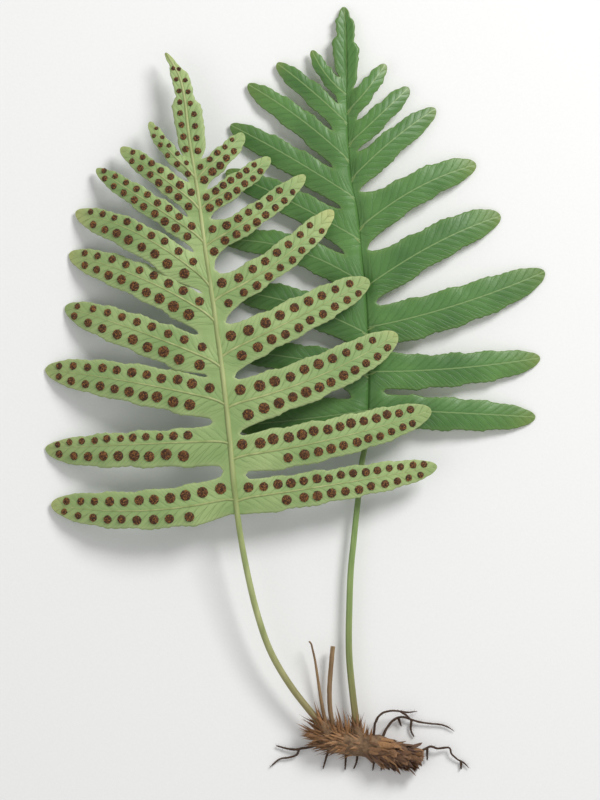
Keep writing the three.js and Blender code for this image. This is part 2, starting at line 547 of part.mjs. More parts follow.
// The flat scales lie over one another all round the body: towards the growing tip on its younger
// half, and towards the old end, as broad tongues, on the other.
function coat(path, random) {
  const scales = [];
  for (let ring = 0; ring < SCALE_RINGS; ring += 1) {
    for (let n = 0; n < SCALES_A_RING; n += 1) {
      const t = mix(...COAT_SPAN, (ring + 0.6 * random()) / SCALE_RINGS);
      const old = t > PARTING;
      const tangent = path.getTangentAt(t);
      const round = (n + 0.5 * (ring % 2) + 0.3 * random()) * 2 * Math.PI / SCALES_A_RING;
      const out = new THREE.Vector3(tangent.y, -tangent.x, 0).normalize().multiplyScalar(Math.cos(round));
      out.z = Math.sin(round);
      const foot = path.getPointAt(t).addScaledVector(out, rhizomeRadius(t) - COAT_SUNK);
      const direction = tangent.multiplyScalar(old ? 1 : -1);
      direction.addScaledVector(out, mix(...COAT_SPREAD, random())).normalize();
      const length = mix(...(old ? TONGUE_LENGTHS : COAT_LENGTHS), random());
      scales.push(scale(foot, direction, length, old ? TONGUE : FLAT_SCALE));
    }
  }
  return scales;
}

// The body is thinner at its growing tip and rounds off at its old end, with low swellings between.
function rhizomeRadius(t) {
  const past = Math.max(0, t - ROUNDING_FROM) / (1 - ROUNDING_FROM);
  const taper = Math.min(1, 0.4 + 4 * t) * mix(1, OLD_END, past ** 2.4);
  return RHIZOME_RADIUS * taper * (1 + 0.04 * Math.sin(23 * t));
}

// The knob that carries a frond, round the foot of its stipe
function knob({ axis }) {
  const { foot, inward } = footOf(axis);
  const points = KNOB_STATIONS.map((d) => foot.clone().addScaledVector(inward, d).toArray());
  return solid(limb(points, (t) => mix(...KNOB_RADII, t), RHIZOME_SIDES, 2));
}

function makeRhizome() {
  const path = smoothPath(RHIZOME_AXIS);
  const random = randomFrom(SEED);
  let body = solid(limb(RHIZOME_AXIS, rhizomeRadius, RHIZOME_SIDES, RHIZOME_STEPS));
  for (const part of [knob(FRONT), knob(BACK), ...tuft(path, random), ...coat(path, random)]) {
    body = body.add(part);
  }
  const ground = new THREE.BoxGeometry(GROUND_SIZE, GROUND_SIZE, GROUND_SIZE);
  ground.translate(0, 0, -GROUND_SIZE / 2);
  const sockets = [
    ...Object.values(ROOTS).map((root) => makeRoot({ ...root, main: deeper(root.main) }, SEAT_GAP)),
    ...Object.values(STUBS).map((stub) => makeStub({ ...stub, points: deeper(stub.points) }, SEAT_GAP)),
    ...[FRONT, BACK].map(({ axis }) =>
      solid(limb(deeper(axis), (t) => axisRadius(t) + SEAT_GAP, AXIS_SIDES, AXIS_STEPS))),
  ];
  for (const cut of [solid(ground), ...sockets]) body = body.subtract(cut);
  return largest(body);
}

// A socket can cut a scale off its foot: only the body itself is kept.
function largest(manifold) {
  return manifold.decompose().reduce((best, part) => (part.volume() > best.volume() ? part : best));
}

function piece(name, manifold, color, roughness) {
  const material = new THREE.MeshStandardMaterial({ color, roughness, metalness: 0 });
  const mesh = new THREE.Mesh(geometryOf(manifold), material);
  mesh.name = name;
  return mesh;
}

const fern = new THREE.Group();
fern.add(piece("rhizome", makeRhizome(), RUSTY_BROWN, 0.85));
fern.add(piece("frond_front", makeFrond(FRONT), PALE_GREEN, 0.6));
fern.add(piece("frond_back", makeFrond(BACK), LEAF_GREEN, 0.45));
for (const [name, stub] of Object.entries(STUBS)) fern.add(piece(name, makeStub(stub), STRAW_BROWN, 0.8));
for (const [name, root] of Object.entries(ROOTS)) fern.add(piece(name, makeRoot(root), DARK_BROWN, 0.9));

export default fern;
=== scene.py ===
# A whole polypody fern, uprooted and laid down on a pale table, seen from straight above.
# The plant's sizes are in millimetres until each piece is finished, when it is brought to metres.
# Those of the table, the camera and the lights are in metres.
import bmesh
import bpy
import math
import random
from bisect import bisect_left
from mathutils import Matrix, Vector, noise
from mathutils.geometry import interpolate_bezier


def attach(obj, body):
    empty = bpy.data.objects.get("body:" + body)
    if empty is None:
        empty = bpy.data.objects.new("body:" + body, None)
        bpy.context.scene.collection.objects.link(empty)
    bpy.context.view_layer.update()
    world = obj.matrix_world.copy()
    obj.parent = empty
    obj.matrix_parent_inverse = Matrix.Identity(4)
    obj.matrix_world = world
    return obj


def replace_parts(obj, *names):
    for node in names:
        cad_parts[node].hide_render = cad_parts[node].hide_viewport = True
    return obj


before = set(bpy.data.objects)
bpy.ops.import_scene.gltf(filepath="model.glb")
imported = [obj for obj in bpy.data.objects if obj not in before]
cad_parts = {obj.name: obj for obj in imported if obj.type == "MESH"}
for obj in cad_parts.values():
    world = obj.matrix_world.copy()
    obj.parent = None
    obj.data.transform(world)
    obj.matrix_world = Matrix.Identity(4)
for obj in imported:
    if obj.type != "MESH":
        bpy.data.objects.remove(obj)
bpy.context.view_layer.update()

# The table is a plain pale sheet that the plant lies on. It isn't part of the plant.
# The view is straight down, as the plant was drawn, and the light comes from the upper right.
MM = 0.001
PIXEL = 0.43  # millimetres of the table for one pixel of the 600 by 800 frame
ROOTSTOCK_PIXEL = (355, 745)  # where the origin lies in that frame
FRAME_WIDTH = 600
FRAME_HEIGHT = 800
VIEW_DISTANCE = 3.0
SENSOR = 36.0
TABLE_HALF = 1.6
TABLE_DROP = 0.00015  # keeps the table just clear of the flat spot under the rhizome
PLANT_MIDDLE = (-0.02, 0.15)
CLIP_END = 20
LIGHTS = (  # name, place, width and watts
    ("key_light", (0.75, 1.0, 1.0), 0.6, 17.0),
    ("fill_light", (-0.9, -0.3, 1.1), 1.2, 2.5),
)
SKY_STRENGTH = 0.45
NOISE_SPREAD = (2.2, -0.6)  # factor and shift that bring noise, which keeps near 0.5, to 0 to 1


def new_material(name, roughness):
    """A material, its node tree and its shader, with the roughness set."""
    material = bpy.data.materials.new(name)
    material.use_nodes = True
    tree = material.node_tree
    shader = tree.nodes["Principled BSDF"]
    shader.inputs["Roughness"].default_value = roughness
    return material, tree, shader


def calc(tree, operation, *values, clamp=False):
    """One Math node: each value is a number or the output that feeds it."""
    node = tree.nodes.new("ShaderNodeMath")
    node.operation = operation
    node.use_clamp = clamp
    for socket, value in zip(node.inputs, values):
        if isinstance(value, (int, float)):
            socket.default_value = value
        else:
            tree.links.new(value, socket)
    return node.outputs[0]


def blend_colors(tree, share, first, second):
    """Two colours mixed by a share. A colour is a triple or the output that feeds it."""
    node = tree.nodes.new("ShaderNodeMix")
    node.data_type = "RGBA"
    for name, value in (("Factor", share), ("A", first), ("B", second)):
        socket = next(s for s in node.inputs if s.name == name and s.enabled)
        if isinstance(value, tuple):
            socket.default_value = (*value, 1)
        elif isinstance(value, (int, float)):
            socket.default_value = value
        else:
            tree.links.new(value, socket)
    return next(s for s in node.outputs if s.enabled)


def mottling(tree, scale, detail=3.0, stretch=(1, 1, 1)):
    """Soft noise from 0 to 1 in Object coordinates, scale in blots for each metre."""
    place = tree.nodes.new("ShaderNodeTexCoord")
    mapping = tree.nodes.new("ShaderNodeMapping")
    mapping.inputs["Scale"].default_value = stretch
    tree.links.new(place.outputs["Object"], mapping.inputs["Vector"])
    cloud = tree.nodes.new("ShaderNodeTexNoise")
    cloud.inputs["Scale"].default_value = scale
    cloud.inputs["Detail"].default_value = detail
    tree.links.new(mapping.outputs["Vector"], cloud.inputs["Vector"])
    return calc(tree, "MULTIPLY_ADD", cloud.outputs["Fac"], *NOISE_SPREAD, clamp=True)


def bump(tree, shader, height, distance, strength=1.0):
    """Relief from a height output, distance in metres."""
    node = tree.nodes.new("ShaderNodeBump")
    node.inputs["Strength"].default_value = strength
    node.inputs["Distance"].default_value = distance
    tree.links.new(height, node.inputs["Height"])
    tree.links.new(node.outputs["Normal"], shader.inputs["Normal"])


def paint(tree, shader, color):
    """The colour of a surface, from the output that gives it."""
    tree.links.new(color, shader.inputs["Base Color"])


def mottled(name, roughness, colors, relief, scale, detail, stretch=(1, 1, 1), strength=1.0):
    """A material whose two colours, and its relief in metres, follow one mottling."""
    material, tree, shader = new_material(name, roughness)
    pattern = mottling(tree, scale, detail, stretch)
    paint(tree, shader, blend_colors(tree, pattern, *colors))
    bump(tree, shader, pattern, relief, strength)
    return material


def placed(name, data):
    """A new object of the scene."""
    item = bpy.data.objects.new(name, data)
    bpy.context.scene.collection.objects.link(item)
    return item


table_paper = mottled("table_paper", roughness=0.9, colors=((0.89, 0.89, 0.88), (0.91, 0.91, 0.9)),
                      relief=0.00003, scale=900, detail=2.0, strength=0.4)

bm = bmesh.new()
bmesh.ops.create_grid(bm, x_segments=1, y_segments=1, size=TABLE_HALF)
bmesh.ops.translate(bm, verts=bm.verts, vec=(0, PLANT_MIDDLE[1], -TABLE_DROP))
table_mesh = bpy.data.meshes.new("table")
bm.to_mesh(table_mesh)
bm.free()
table_mesh.materials.append(table_paper)
placed("table", table_mesh)

camera_data = bpy.data.cameras.new("camera")
camera_data.sensor_width = SENSOR
camera_data.lens = SENSOR * VIEW_DISTANCE / (FRAME_HEIGHT * PIXEL * MM)
camera_data.clip_end = CLIP_END
camera = placed("camera", camera_data)
camera.location = (
    (FRAME_WIDTH / 2 - ROOTSTOCK_PIXEL[0]) * PIXEL * MM,
    (ROOTSTOCK_PIXEL[1] - FRAME_HEIGHT / 2) * PIXEL * MM,
    VIEW_DISTANCE,
)
bpy.context.scene.camera = camera

for name, place, size, power in LIGHTS:
    light_data = bpy.data.lights.new(name, "AREA")
    light_data.shape = "DISK"
    light_data.size = size
    light_data.energy = power
    light = placed(name, light_data)
    light.location = place
    aim = Vector((*PLANT_MIDDLE, 0)) - Vector(place)
    light.rotation_mode = "QUATERNION"
    light.rotation_quaternion = aim.to_track_quat("-Z", "Y")

world = bpy.data.worlds.new("studio")
world.use_nodes = True
world.node_tree.nodes["Background"].inputs["Color"].default_value = (1, 1, 1, 1)
world.node_tree.nodes["Background"].inputs["Strength"].default_value = SKY_STRENGTH
bpy.context.scene.world = world
bpy.context.scene.view_settings.view_transform = "Standard"

# The rhizome is a short creeping stem, fleshy inside, that rounds off at its old end, at the right.
# A low knob carries each frond and each old stub. It grew with its skin flat where it lies.
RHIZOME_RADIUS = 5.1
GROWING_TIP = 0.4  # share of its radius at its growing tip
ROUNDING_FROM = 0.68  # share of its length past which the body narrows to its old end
OLD_END = 0.42  # share of its radius there
SWELLING = 0.04
SKIN_LUMP = 0.1
KNOB_RADII = (1.75, 3.2)
KNOB_STATIONS = (-2.2, 1.6, 4)  # from the foot of the stipe into the rhizome
STUB_MARGIN = (0.25, 1.2)  # how much wider than its stub a knob is
STUB_STATIONS = (-3.2, 0, 2)
UP = Vector((0, 0, 1))
CURVE_POINTS = 25  # on each stretch between two points of a route
WELD = 1e-4
CM = 10

# Routes are in millimetres. The rhizome's runs from its growing tip to its old end, and that of any
# other limb from its free end to its foot.
RHIZOME_AXIS = [
    (-16.5, 4, 4.9), (-9, 2.2, 4.7), (0, 0.7, 4.6), (11, -1.2, 4.6), (18.5, -3.1, 4.6), (25, -4.2, 4.5),
]
FRONT_AXIS = [
    (-81, 297, 9), (-75, 286, 11), (-71, 260, 14), (-67.5, 238, 16), (-64, 212, 17.5), (-60.5, 188, 18.5),
    (-57, 162, 19), (-54.5, 140, 19), (-52, 114, 18), (-50.5, 100, 17), (-47.5, 81, 15), (-42, 57, 12.5),
    (-36, 40, 10.5), (-27.5, 25.5, 9), (-19, 14.5, 8), (-13.8, 8.2, 7.2),
]
BACK_AXIS = [
    (-4.7, 317, 1.2), (-4, 307, 2.5), (-3.5, 273, 5), (-1.7, 243, 6), (0.9, 230, 6), (2.6, 213, 6),
    (4.7, 191, 6), (5.6, 170, 6), (5.6, 148, 6), (4.7, 131, 6), (3, 122, 6), (1.3, 106, 5.5),
    (0, 94, 5), (-0.8, 86, 5), (-1.8, 76, 5), (-2.4, 62, 5), (-2.6, 40, 5), (-0.9, 21, 5.2), (0.9, 7, 5.4),
]
# Each stub: its route, and its radii at its free end and at its foot.
STUBS = {
    "stipe_stub_thin": (
        [(-19.8, 44.8, 6.4), (-18.9, 43.9, 6.3), (-18.4, 42, 6.1), (-17.2, 36.6, 5.4), (-15.9, 28, 4.6),
         (-14.6, 19.4, 3.8), (-13.4, 13.3, 3.4), (-12, 8, 3.2), (-11.2, 4.2, 3.2)],
        (0.35, 0.9),
    ),
    "stipe_stub_thick": (
        [(-9.5, 42.6, 5.2), (-10.3, 34.4, 4.6), (-11, 23.7, 4.2), (-10.6, 14.6, 4.1), (-9.4, 8, 4.1),
         (-8.6, 4, 4.1)],
        (0.95, 1.05),
    ),
}


def mix(a, b, t):
    """From a to b by a share t."""
    return a + (b - a) * t


def smooth_path(points, steps):
    """Points at even distances along a smooth curve through the given ones."""
    knots = [Vector(p) for p in points]
    knots = [2 * knots[0] - knots[1], *knots, 2 * knots[-1] - knots[-2]]
    dense = []
    for a, b, c, d in zip(knots, knots[1:], knots[2:], knots[3:]):
        ab, bc, cd = ((q - p).length ** 0.5 for p, q in ((a, b), (b, c), (c, d)))
        leave = ((b - a) / ab - (c - a) / (ab + bc) + (c - b) / bc) * bc / 3
        arrive = ((c - b) / bc - (d - b) / (bc + cd) + (d - c) / cd) * bc / 3
        dense += interpolate_bezier(b, b + leave, c - arrive, c, CURVE_POINTS)[:-1]
    dense.append(knots[-2])
    lengths = [0.0]
    for p, q in zip(dense, dense[1:]):
        lengths.append(lengths[-1] + (q - p).length)
    spaced = []
    for step in range(steps + 1):
        far = lengths[-1] * step / steps
        k = min(max(bisect_left(lengths, far), 1), len(dense) - 1)
        spaced.append(dense[k - 1].lerp(dense[k], (far - lengths[k - 1]) / (lengths[k] - lengths[k - 1])))
    return spaced


def wrap(bm, at, sides, steps, around, length):
    """A closed skin round a limb: at(turn, share) gives its points. The UV map is in centimetres."""
    verts = bmesh.ops.create_grid(bm, x_segments=sides, y_segments=steps, size=0.5)["verts"]
    shares = {v: ((v.co.x + 0.5), round((v.co.y + 0.5) * steps) / steps) for v in verts}
    uv_map = bm.loops.layers.uv.verify()
    for face in {f for v in verts for f in v.link_faces}:
        for loop in face.loops:
            turn, share = shares[loop.vert]
            loop[uv_map].uv = (turn * around / CM, share * length / CM)
    for v, (turn, share) in shares.items():
        v.co = at(2 * math.pi * (round(turn * sides) % sides) / sides, share)
    bmesh.ops.remove_doubles(bm, verts=verts, dist=WELD)
    open_edges = [e for e in {e for v in verts if v.is_valid for e in v.link_edges} if e.is_boundary]
    if open_edges:
        bmesh.ops.holes_fill(bm, edges=open_edges, sides=0)


def limb(bm, points, radius_at, sides, steps):
    """A round limb along a smooth path, from its free end to its foot. Turn 90 degrees faces up."""
    path = smooth_path(points, steps)
    ends = [2 * path[0] - path[1], *path, 2 * path[-1] - path[-2]]
    rings = []
    for k, centre in enumerate(path):
        across = (ends[k + 2] - ends[k]).cross(UP).normalized()
        rings.append((centre, across, across.cross(ends[k + 2] - ends[k]).normalized()))

    def at(turn, share):
        centre, across, over = rings[round(share * steps)]
        radius = radius_at(share, turn)
        return centre + across * (radius * math.cos(turn)) + over * (radius * math.sin(turn))

    length = sum((q - p).length for p, q in zip(path, path[1:]))
    wrap(bm, at, sides, steps, 2 * math.pi * radius_at(0.5, 0), length)


def graft(bm, small):
    """A small finished mesh added to a larger one."""
    carrier = bpy.data.meshes.new("carrier")
    small.to_mesh(carrier)
    small.free()
    bm.from_mesh(carrier, face_normals=False)
    bpy.data.meshes.remove(carrier)


def finished(bm, name, materials, crease=60, closed=True):
    """The mesh as an object in metres that rides with the plant. Closed skins face outwards."""
    if closed:
        bmesh.ops.recalc_face_normals(bm, faces=bm.faces)
    bmesh.ops.scale(bm, vec=(MM, MM, MM), verts=bm.verts)
    mesh = bpy.data.meshes.new(name)
    bm.to_mesh(mesh)
    bm.free()
    mesh.shade_smooth()
    mesh.set_sharp_from_angle(angle=math.radians(crease))
    for material in materials:
        mesh.materials.append(material)
    piece = placed(name, mesh)
    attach(piece, "root")
    return piece


def rest_on(bm, floor):
    """Nothing of the mesh left below the floor, where it would cut into the table."""
    for v in bm.verts:
        v.co.z = max(v.co.z, floor)


def foot_of(points):
    """The foot of a limb, and the way into the rhizome there."""
    foot = Vector(points[-1])
    return foot, (foot - Vector(points[-2])).normalized()


def lumps(run, turn, around=1):
    """Smooth unevenness of a limb's skin, without a seam round it, from about -1 to 1."""
    return noise.noise((run, around * math.cos(turn), around * math.sin(turn)))


def rhizome_radius(t):
    """Radius of the rhizome under its scales, at a share of its length."""
    past = max(0, t - ROUNDING_FROM) / (1 - ROUNDING_FROM)
    taper = min(1, GROWING_TIP + 4 * t) * mix(1, OLD_END, past ** 2.4)
    return RHIZOME_RADIUS * taper * (1 + SWELLING * math.sin(23 * t))


def skin_radius(t, turn):
    return rhizome_radius(t) * (1 + SKIN_LUMP * lumps(9 * t, turn, 1.3))


rhizome_skin = mottled("rhizome_skin", roughness=0.85, colors=((0.1, 0.056, 0.028), (0.27, 0.165, 0.085)),
                       relief=0.0006, scale=500, detail=4.0)

bm = bmesh.new()
limb(bm, RHIZOME_AXIS, skin_radius, sides=40, steps=64)
for axis in (FRONT_AXIS, BACK_AXIS):
    foot, inward = foot_of(axis)
    stations = [foot + inward * d for d in KNOB_STATIONS]
    limb(bm, stations, lambda t, _: mix(*KNOB_RADII, t ** 0.7), sides=20, steps=8)
for points, (_, thick) in STUBS.values():
    foot, inward = foot_of(points)
    stations = [foot + inward * d for d in STUB_STATIONS]
    limb(bm, stations, lambda t, _: thick + mix(*STUB_MARGIN, t), sides=16, steps=5)
rest_on(bm, 0)
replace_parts(finished(bm, "rhizome_body", [rhizome_skin]), "rhizome")

# Rusty papery scales grow from the rhizome's skin and cover it. They stand out as a bristly tuft
# round its growing tip, lie along its younger half, stand round the feet of the stipes and stubs, and
# end as broad tongues at its old end.
SCALE_THICKNESS = 0.1
SCALE_FOOT = 0.45  # share of its width at its foot
SCALE_CUP = 0.35  # how far its margins bend back, as a share of its half width
SCALE_TWISTS = (-0.5, 0.5)
SCALE_SWAYS = (-0.1, 0.1)
HAIR_POINTED = 1.15  # bluntness of a scale that ends in a hair point
SCALE_TONE = 0.62  # of a young scale, from 0, dark, to 1, rusty
SCALE_AGEING = 0.4
RUSTS = ((0.075, 0.03, 0.013), (0.52, 0.27, 0.11))
FLOOR = 0.02  # how far scales and roots keep above the table
PATH_STEPS = 200

# A shape is a range of half widths in millimetres, and one of curls, as shares of a scale's length.
TUFT_SCALES = 80
TUFT_TURN = (176, 76)  # degrees from +X, from the growing tip along the upper side
TUFT_STRAY = 8
TUFT_TILT = (-8, 42)
TUFT_FEET = (0.02, 0.52)  # shares of the rhizome's length
TUFT_FEET_STRAY = 0.05
TUFT_FEET_RISE = (-1.5, 2.5)
TUFT_LENGTHS = (7, 14)
TUFT_GROWTH = (0.5, 1)
TUFT_EXTRA = 1.5
TUFT_SHAPE = ((0.6, 1.05), (-0.16, 0.2))

COAT_SCALES = 520
COAT_SPAN = (0.03, 1.0)
COAT_DEPTH = 0.5  # of the feet of the scales in the skin
COAT_LOWEST = 0.9
COAT_SPLAY = 0.35
COAT_LIFTS = (0.1, 0.5)
COAT_LENGTHS = (4, 8)
COAT_SHAPE = ((0.7, 1.3), (-0.06, 0.16))
BARE = (0.4, 0.075)  # middle and half length of the stretch where few scales are left
BARE_LOSS = 0.6
BARE_FRESHNESS = 0.8
PARTING = 0.48  # share of the rhizome's length past which the scales point to its old end
PARTING_STRAY = (-0.04, 0.04)
TONGUE_FALL = 0.32  # how much the tongues lean away from the fronds
TONGUE_FALLS = (0.2, 1.6)
TONGUE_LIFTS = (0.06, 0.42)
TONGUE_LENGTHS = (5.5, 9.5)
TONGUE_LAST = (5, 34)  # longest at the old end, and how much longer they may be further from it
TONGUE_SHAPE = ((0.8, 1.9), (-0.14, 0.06))
TONGUE_AGE = 0.35
TONGUE_BLUNTNESS = (1.4, 2.6, 3)

# Long scales that stand up between the stipes, from foot to tip in plan.
FLAMES = [
    ((-14.5, 8), (-18.1, 19.8)), ((-13.5, 9), (-16.6, 17.5)), ((-5.6, 6), (-7.3, 18.5)),
    ((-6.6, 7), (-8.6, 15)), ((-3.6, 6), (-4.7, 16.8)), ((-2.6, 6), (-2.9, 13.6)), ((2, 5), (2.9, 14)),
    ((3, 4.5), (4.7, 11.4)), ((5, 4), (5, 9.8)), ((6.5, 3.5), (7.2, 8.8)),
]
FLAME_FOOT = 6.5
FLAME_RISES = (0.5, 3)
FLAME_SHAPE = ((0.7, 0.95), (-0.05, 0.08))

# Scales round the foot of each stipe and stub: its route, the radius of the ring and their lengths.
FOOT_RINGS = (
    (FRONT_AXIS, 1.7, (5, 10)), (BACK_AXIS, 1.7, (4, 8)),
    (STUBS["stipe_stub_thin"][0], 1.2, (4, 9)), (STUBS["stipe_stub_thick"][0], 1.4, (4, 8)),
)
FOOT_SCALES = 26
FOOT_OFFSETS = (-1.5, 2)
FOOT_LIFTS = (0.06, 0.45)
FOOT_SLANTS = (-0.25, 0.25)
FOOT_SHAPE = ((0.5, 0.95), (-0.05, 0.18))

rng = random.Random(7)


def draw(span):
    """A random value from a range."""
    return rng.uniform(*span)


def drawn(shape):
    """A half width and a curl from their ranges."""
    return [draw(span) for span in shape]


def add_scale(bm, foot, direction, out, length, half_width, curl, age, bluntness=HAIR_POINTED):
    """One papery scale that curls away from the body and ends in a hair point, or as a tongue if blunt."""
    direction = direction.normalized()
    across = direction.cross(out).normalized()
    out = across.cross(direction)
    twist = draw(SCALE_TWISTS)
    sway = draw(SCALE_SWAYS) * length

    def at(turn, share):
        narrowed = (1 - share ** bluntness) ** (1.5 / bluntness)
        width = half_width * min(1, SCALE_FOOT + 2.2 * share) * narrowed
        lift = curl * length * share ** 2 - SCALE_CUP * width * math.cos(turn) ** 2
        skin = SCALE_THICKNESS * (1 - 0.8 * share) * math.sin(turn)
        lean = twist * share * width * math.cos(turn)
        side = across * (width * math.cos(turn) + sway * share ** 2)
        return foot + direction * (length * share) + side + out * (lift + skin + lean)

    small = bmesh.new()
    tone = small.verts.layers.float.new("tone")
    wrap(small, at, sides=6, steps=7, around=1, length=length)
    shade = min(1, max(0, rng.gauss(SCALE_TONE - SCALE_AGEING * age, 0.2)))
    for v in small.verts:
        v[tone] = shade
    graft(bm, small)


def attribute(tree, name):
    """The output that reads a value stored on the mesh."""
    node = tree.nodes.new("ShaderNodeAttribute")
    node.attribute_name = name
    return node.outputs["Fac"]


def tinted(tree, color, mask, share, tint):
    """A colour with a share of a tint where the mask is 1."""
    return blend_colors(tree, calc(tree, "MULTIPLY", mask, share), color, tint)


scale_rust, tree, shader = new_material("scale_rust", roughness=0.55)
streaks = mottling(tree, scale=1400, detail=2.0)
rust = blend_colors(tree, attribute(tree, "tone"), *RUSTS)
paint(tree, shader, tinted(tree, rust, streaks, share=0.45, tint=(0.07, 0.03, 0.013)))
bump(tree, shader, streaks, distance=0.0001)

path = smooth_path(RHIZOME_AXIS, PATH_STEPS)


def along(t):
    """The middle of the rhizome at a share of its length, and the way to its old end there."""
    k = min(max(t * PATH_STEPS, 0), PATH_STEPS - 0.001)
    a, b = path[int(k)], path[int(k) + 1]
    return a.lerp(b, k - int(k)), (b - a).normalized()


bm = bmesh.new()
for n in range(TUFT_SCALES):
    share = n / (TUFT_SCALES - 1)
    turn = math.radians(mix(*TUFT_TURN, share ** 0.8) + rng.gauss(0, TUFT_STRAY))
    tilt = math.radians(mix(*TUFT_TILT, rng.random()))
    direction = Vector((math.cos(turn) * math.cos(tilt), math.sin(turn) * math.cos(tilt), math.sin(tilt)))
    foot, _ = along(mix(*TUFT_FEET, share ** 1.6) + TUFT_FEET_STRAY * rng.random())
    foot = foot + Vector((0, 0, draw(TUFT_FEET_RISE)))
    grown = math.sin(math.pi * share ** 0.7) * draw(TUFT_GROWTH)
    length = mix(*TUFT_LENGTHS, grown) + TUFT_EXTRA * rng.random()
    add_scale(bm, foot, direction, UP, length, *drawn(TUFT_SHAPE), age=0.1)
for n in range(COAT_SCALES):
    t = mix(*COAT_SPAN, (n + rng.random()) / COAT_SCALES)
    centre, back = along(t)
    turn = rng.uniform(0, 2 * math.pi)
    out = Vector((back.y, -back.x, 0)).normalized() * math.cos(turn) + UP * math.sin(turn)
    foot = centre + out * (rhizome_radius(t) - COAT_DEPTH)
    if foot.z < COAT_LOWEST or (abs(t - BARE[0]) < BARE[1] and rng.random() < BARE_LOSS):
        continue
    sideways = out.cross(back) * rng.gauss(0, COAT_SPLAY)
    if t > PARTING + draw(PARTING_STRAY):
        length = min(draw(TONGUE_LENGTHS), TONGUE_LAST[0] + TONGUE_LAST[1] * (1 - t))
        fall = Vector((0, -TONGUE_FALL * draw(TONGUE_FALLS), 0))
        direction = back + fall + out * draw(TONGUE_LIFTS) + sideways
        add_scale(bm, foot, direction, out, length, *drawn(TONGUE_SHAPE), TONGUE_AGE + rng.random(),
                  rng.choice(TONGUE_BLUNTNESS))
    else:
        direction = out * draw(COAT_LIFTS) + sideways - back
        age = t - BARE_FRESHNESS * math.exp(-((t - BARE[0]) / BARE[1]) ** 2)
        add_scale(bm, foot, direction, out, draw(COAT_LENGTHS), *drawn(COAT_SHAPE), age)
for foot, tip in FLAMES:
    start = Vector((*foot, FLAME_FOOT))
    rise = Vector((*tip, FLAME_FOOT + draw(FLAME_RISES))) - start
    add_scale(bm, start, rise, UP, rise.length, *drawn(FLAME_SHAPE), age=0.05)
for points, radius, lengths in FOOT_RINGS:
    foot, inward = foot_of(points)
    outward = -inward
    across = outward.cross(UP).normalized()
    over = across.cross(outward)
    for n in range(FOOT_SCALES):
        turn = 2 * math.pi * (n + rng.random()) / FOOT_SCALES
        out = across * math.cos(turn) + over * math.sin(turn)
        start = foot + outward * draw(FOOT_OFFSETS) + out * radius
        direction = outward + out * draw(FOOT_LIFTS) + out.cross(outward) * draw(FOOT_SLANTS)
        add_scale(bm, start, direction, out, draw(lengths), *drawn(FOOT_SHAPE), age=0.2)
rest_on(bm, FLOOR)
finished(bm, "rhizome_scales", [scale_rust])

# The roots are thin, wiry and dark, forked, with fine hairs. They leave the under side and the
# old end of the rhizome, and two of them arch over before they come down to the table.
# Each root below: the routes of its main limb and of its branches.
ROOTS = {
    "root_left": [
        [(-36.6, -9.5, 0.8), (-32.3, -6, 1), (-28, -5.2, 1.4), (-25, -4, 1.9), (-23.8, -1.6, 2.4),
         (-20.5, -1, 2.9), (-17.6, -0.2, 3.3), (-14, 1.2, 3.8)],
        [(-34, -0.2, 1), (-28, -1.7, 1.5), (-23.8, -1.8, 2.4)],
    ],
    "root_right": [
        [(49, -9.9, 0.8), (46.9, -7.7, 1), (43.9, -6, 1.4), (41.4, -3.6, 1.9), (40.6, -1.2, 2.2),
         (35.3, -1.3, 2.8), (32.3, -0.5, 3.4), (28.6, -2.2, 4.1), (21.5, -3.7, 4.6)],
        [(31, -6.5, 1.8), (31, -3.6, 2.8), (31, -1, 3.7)],
        [(45.6, -10.4, 0.8), (45.6, -7, 1.2)],
    ],
    "root_arch_upper": [
        [(26.7, 14.6, 1.4), (22.8, 14.2, 3.4), (19.4, 14.7, 5), (15.9, 15, 6.2), (12.9, 14.5, 7),
         (10.2, 12.8, 7.2), (8.6, 9.5, 6.8), (8.1, 6, 6), (7.8, 1.8, 5.2)],
        [(23.9, 11.2, 5.2), (22, 13, 5.4), (19.6, 14.7, 5)],
    ],
    "root_arch_lower": [
        [(42.6, 6, 0.8), (40, 7.7, 1), (37, 8.8, 1.2), (33.1, 9.2, 1.4), (28, 9.9, 1.7), (24.5, 10.9, 2),
         (21.5, 12, 2.4), (18.9, 12, 2.8), (16.3, 10.7, 3.2), (13.8, 7.6, 3.7), (12.2, 4.6, 4.1),
         (11.6, 1.4, 4.3)],
        [(19.9, 8, 1), (18.6, 11.8, 2.8)],
        [(25.4, 3.4, 0.8), (24, 6.5, 1.2), (24.3, 11, 2)],
    ],
    "root_short_1": [[(-13.8, -10.3, 1), (-12.6, -6, 2.2), (-11, -0.6, 3.4)]],
    "root_short_2": [[(-4.3, -10.8, 1), (-4.1, -7.4, 1.8), (-3.8, -2.2, 2.8)]],
    "root_short_3": [[(-0.6, -10.3, 1.2), (0.6, -7.2, 2.2), (1.2, -2.8, 3.2)]],
    "root_short_4": [[(7.6, -11, 1), (8, -8, 1.8), (8.3, -3.8, 2.8)]],
    "root_short_5": [[(11.2, -11, 1.2), (11.5, -8.2, 2.2), (11.8, -4, 3.2)]],
}
ROOT_RADII = (0.3, 0.62)
ROOT_TIP = 0.3  # share of its radius at its tip
ROOT_LUMP = 0.3
ROOT_RINGS = 10  # for each point of its route
HAIRS = 12  # for each point of its route
HAIRY_SHARE = 0.8
HAIR_RADIUS = 0.045
HAIR_LENGTHS = (0.8, 1.9)
HAIR_LEANS = (0, 0.9)
HAIR_BENDS = (-0.1, 0.1)
HAIR_FLOOR = 0.05

root_bark = mottled("root_bark", roughness=0.8, colors=((0.028, 0.015, 0.009), (0.105, 0.056, 0.03)),
                    relief=0.0003, scale=1600, detail=4.0)

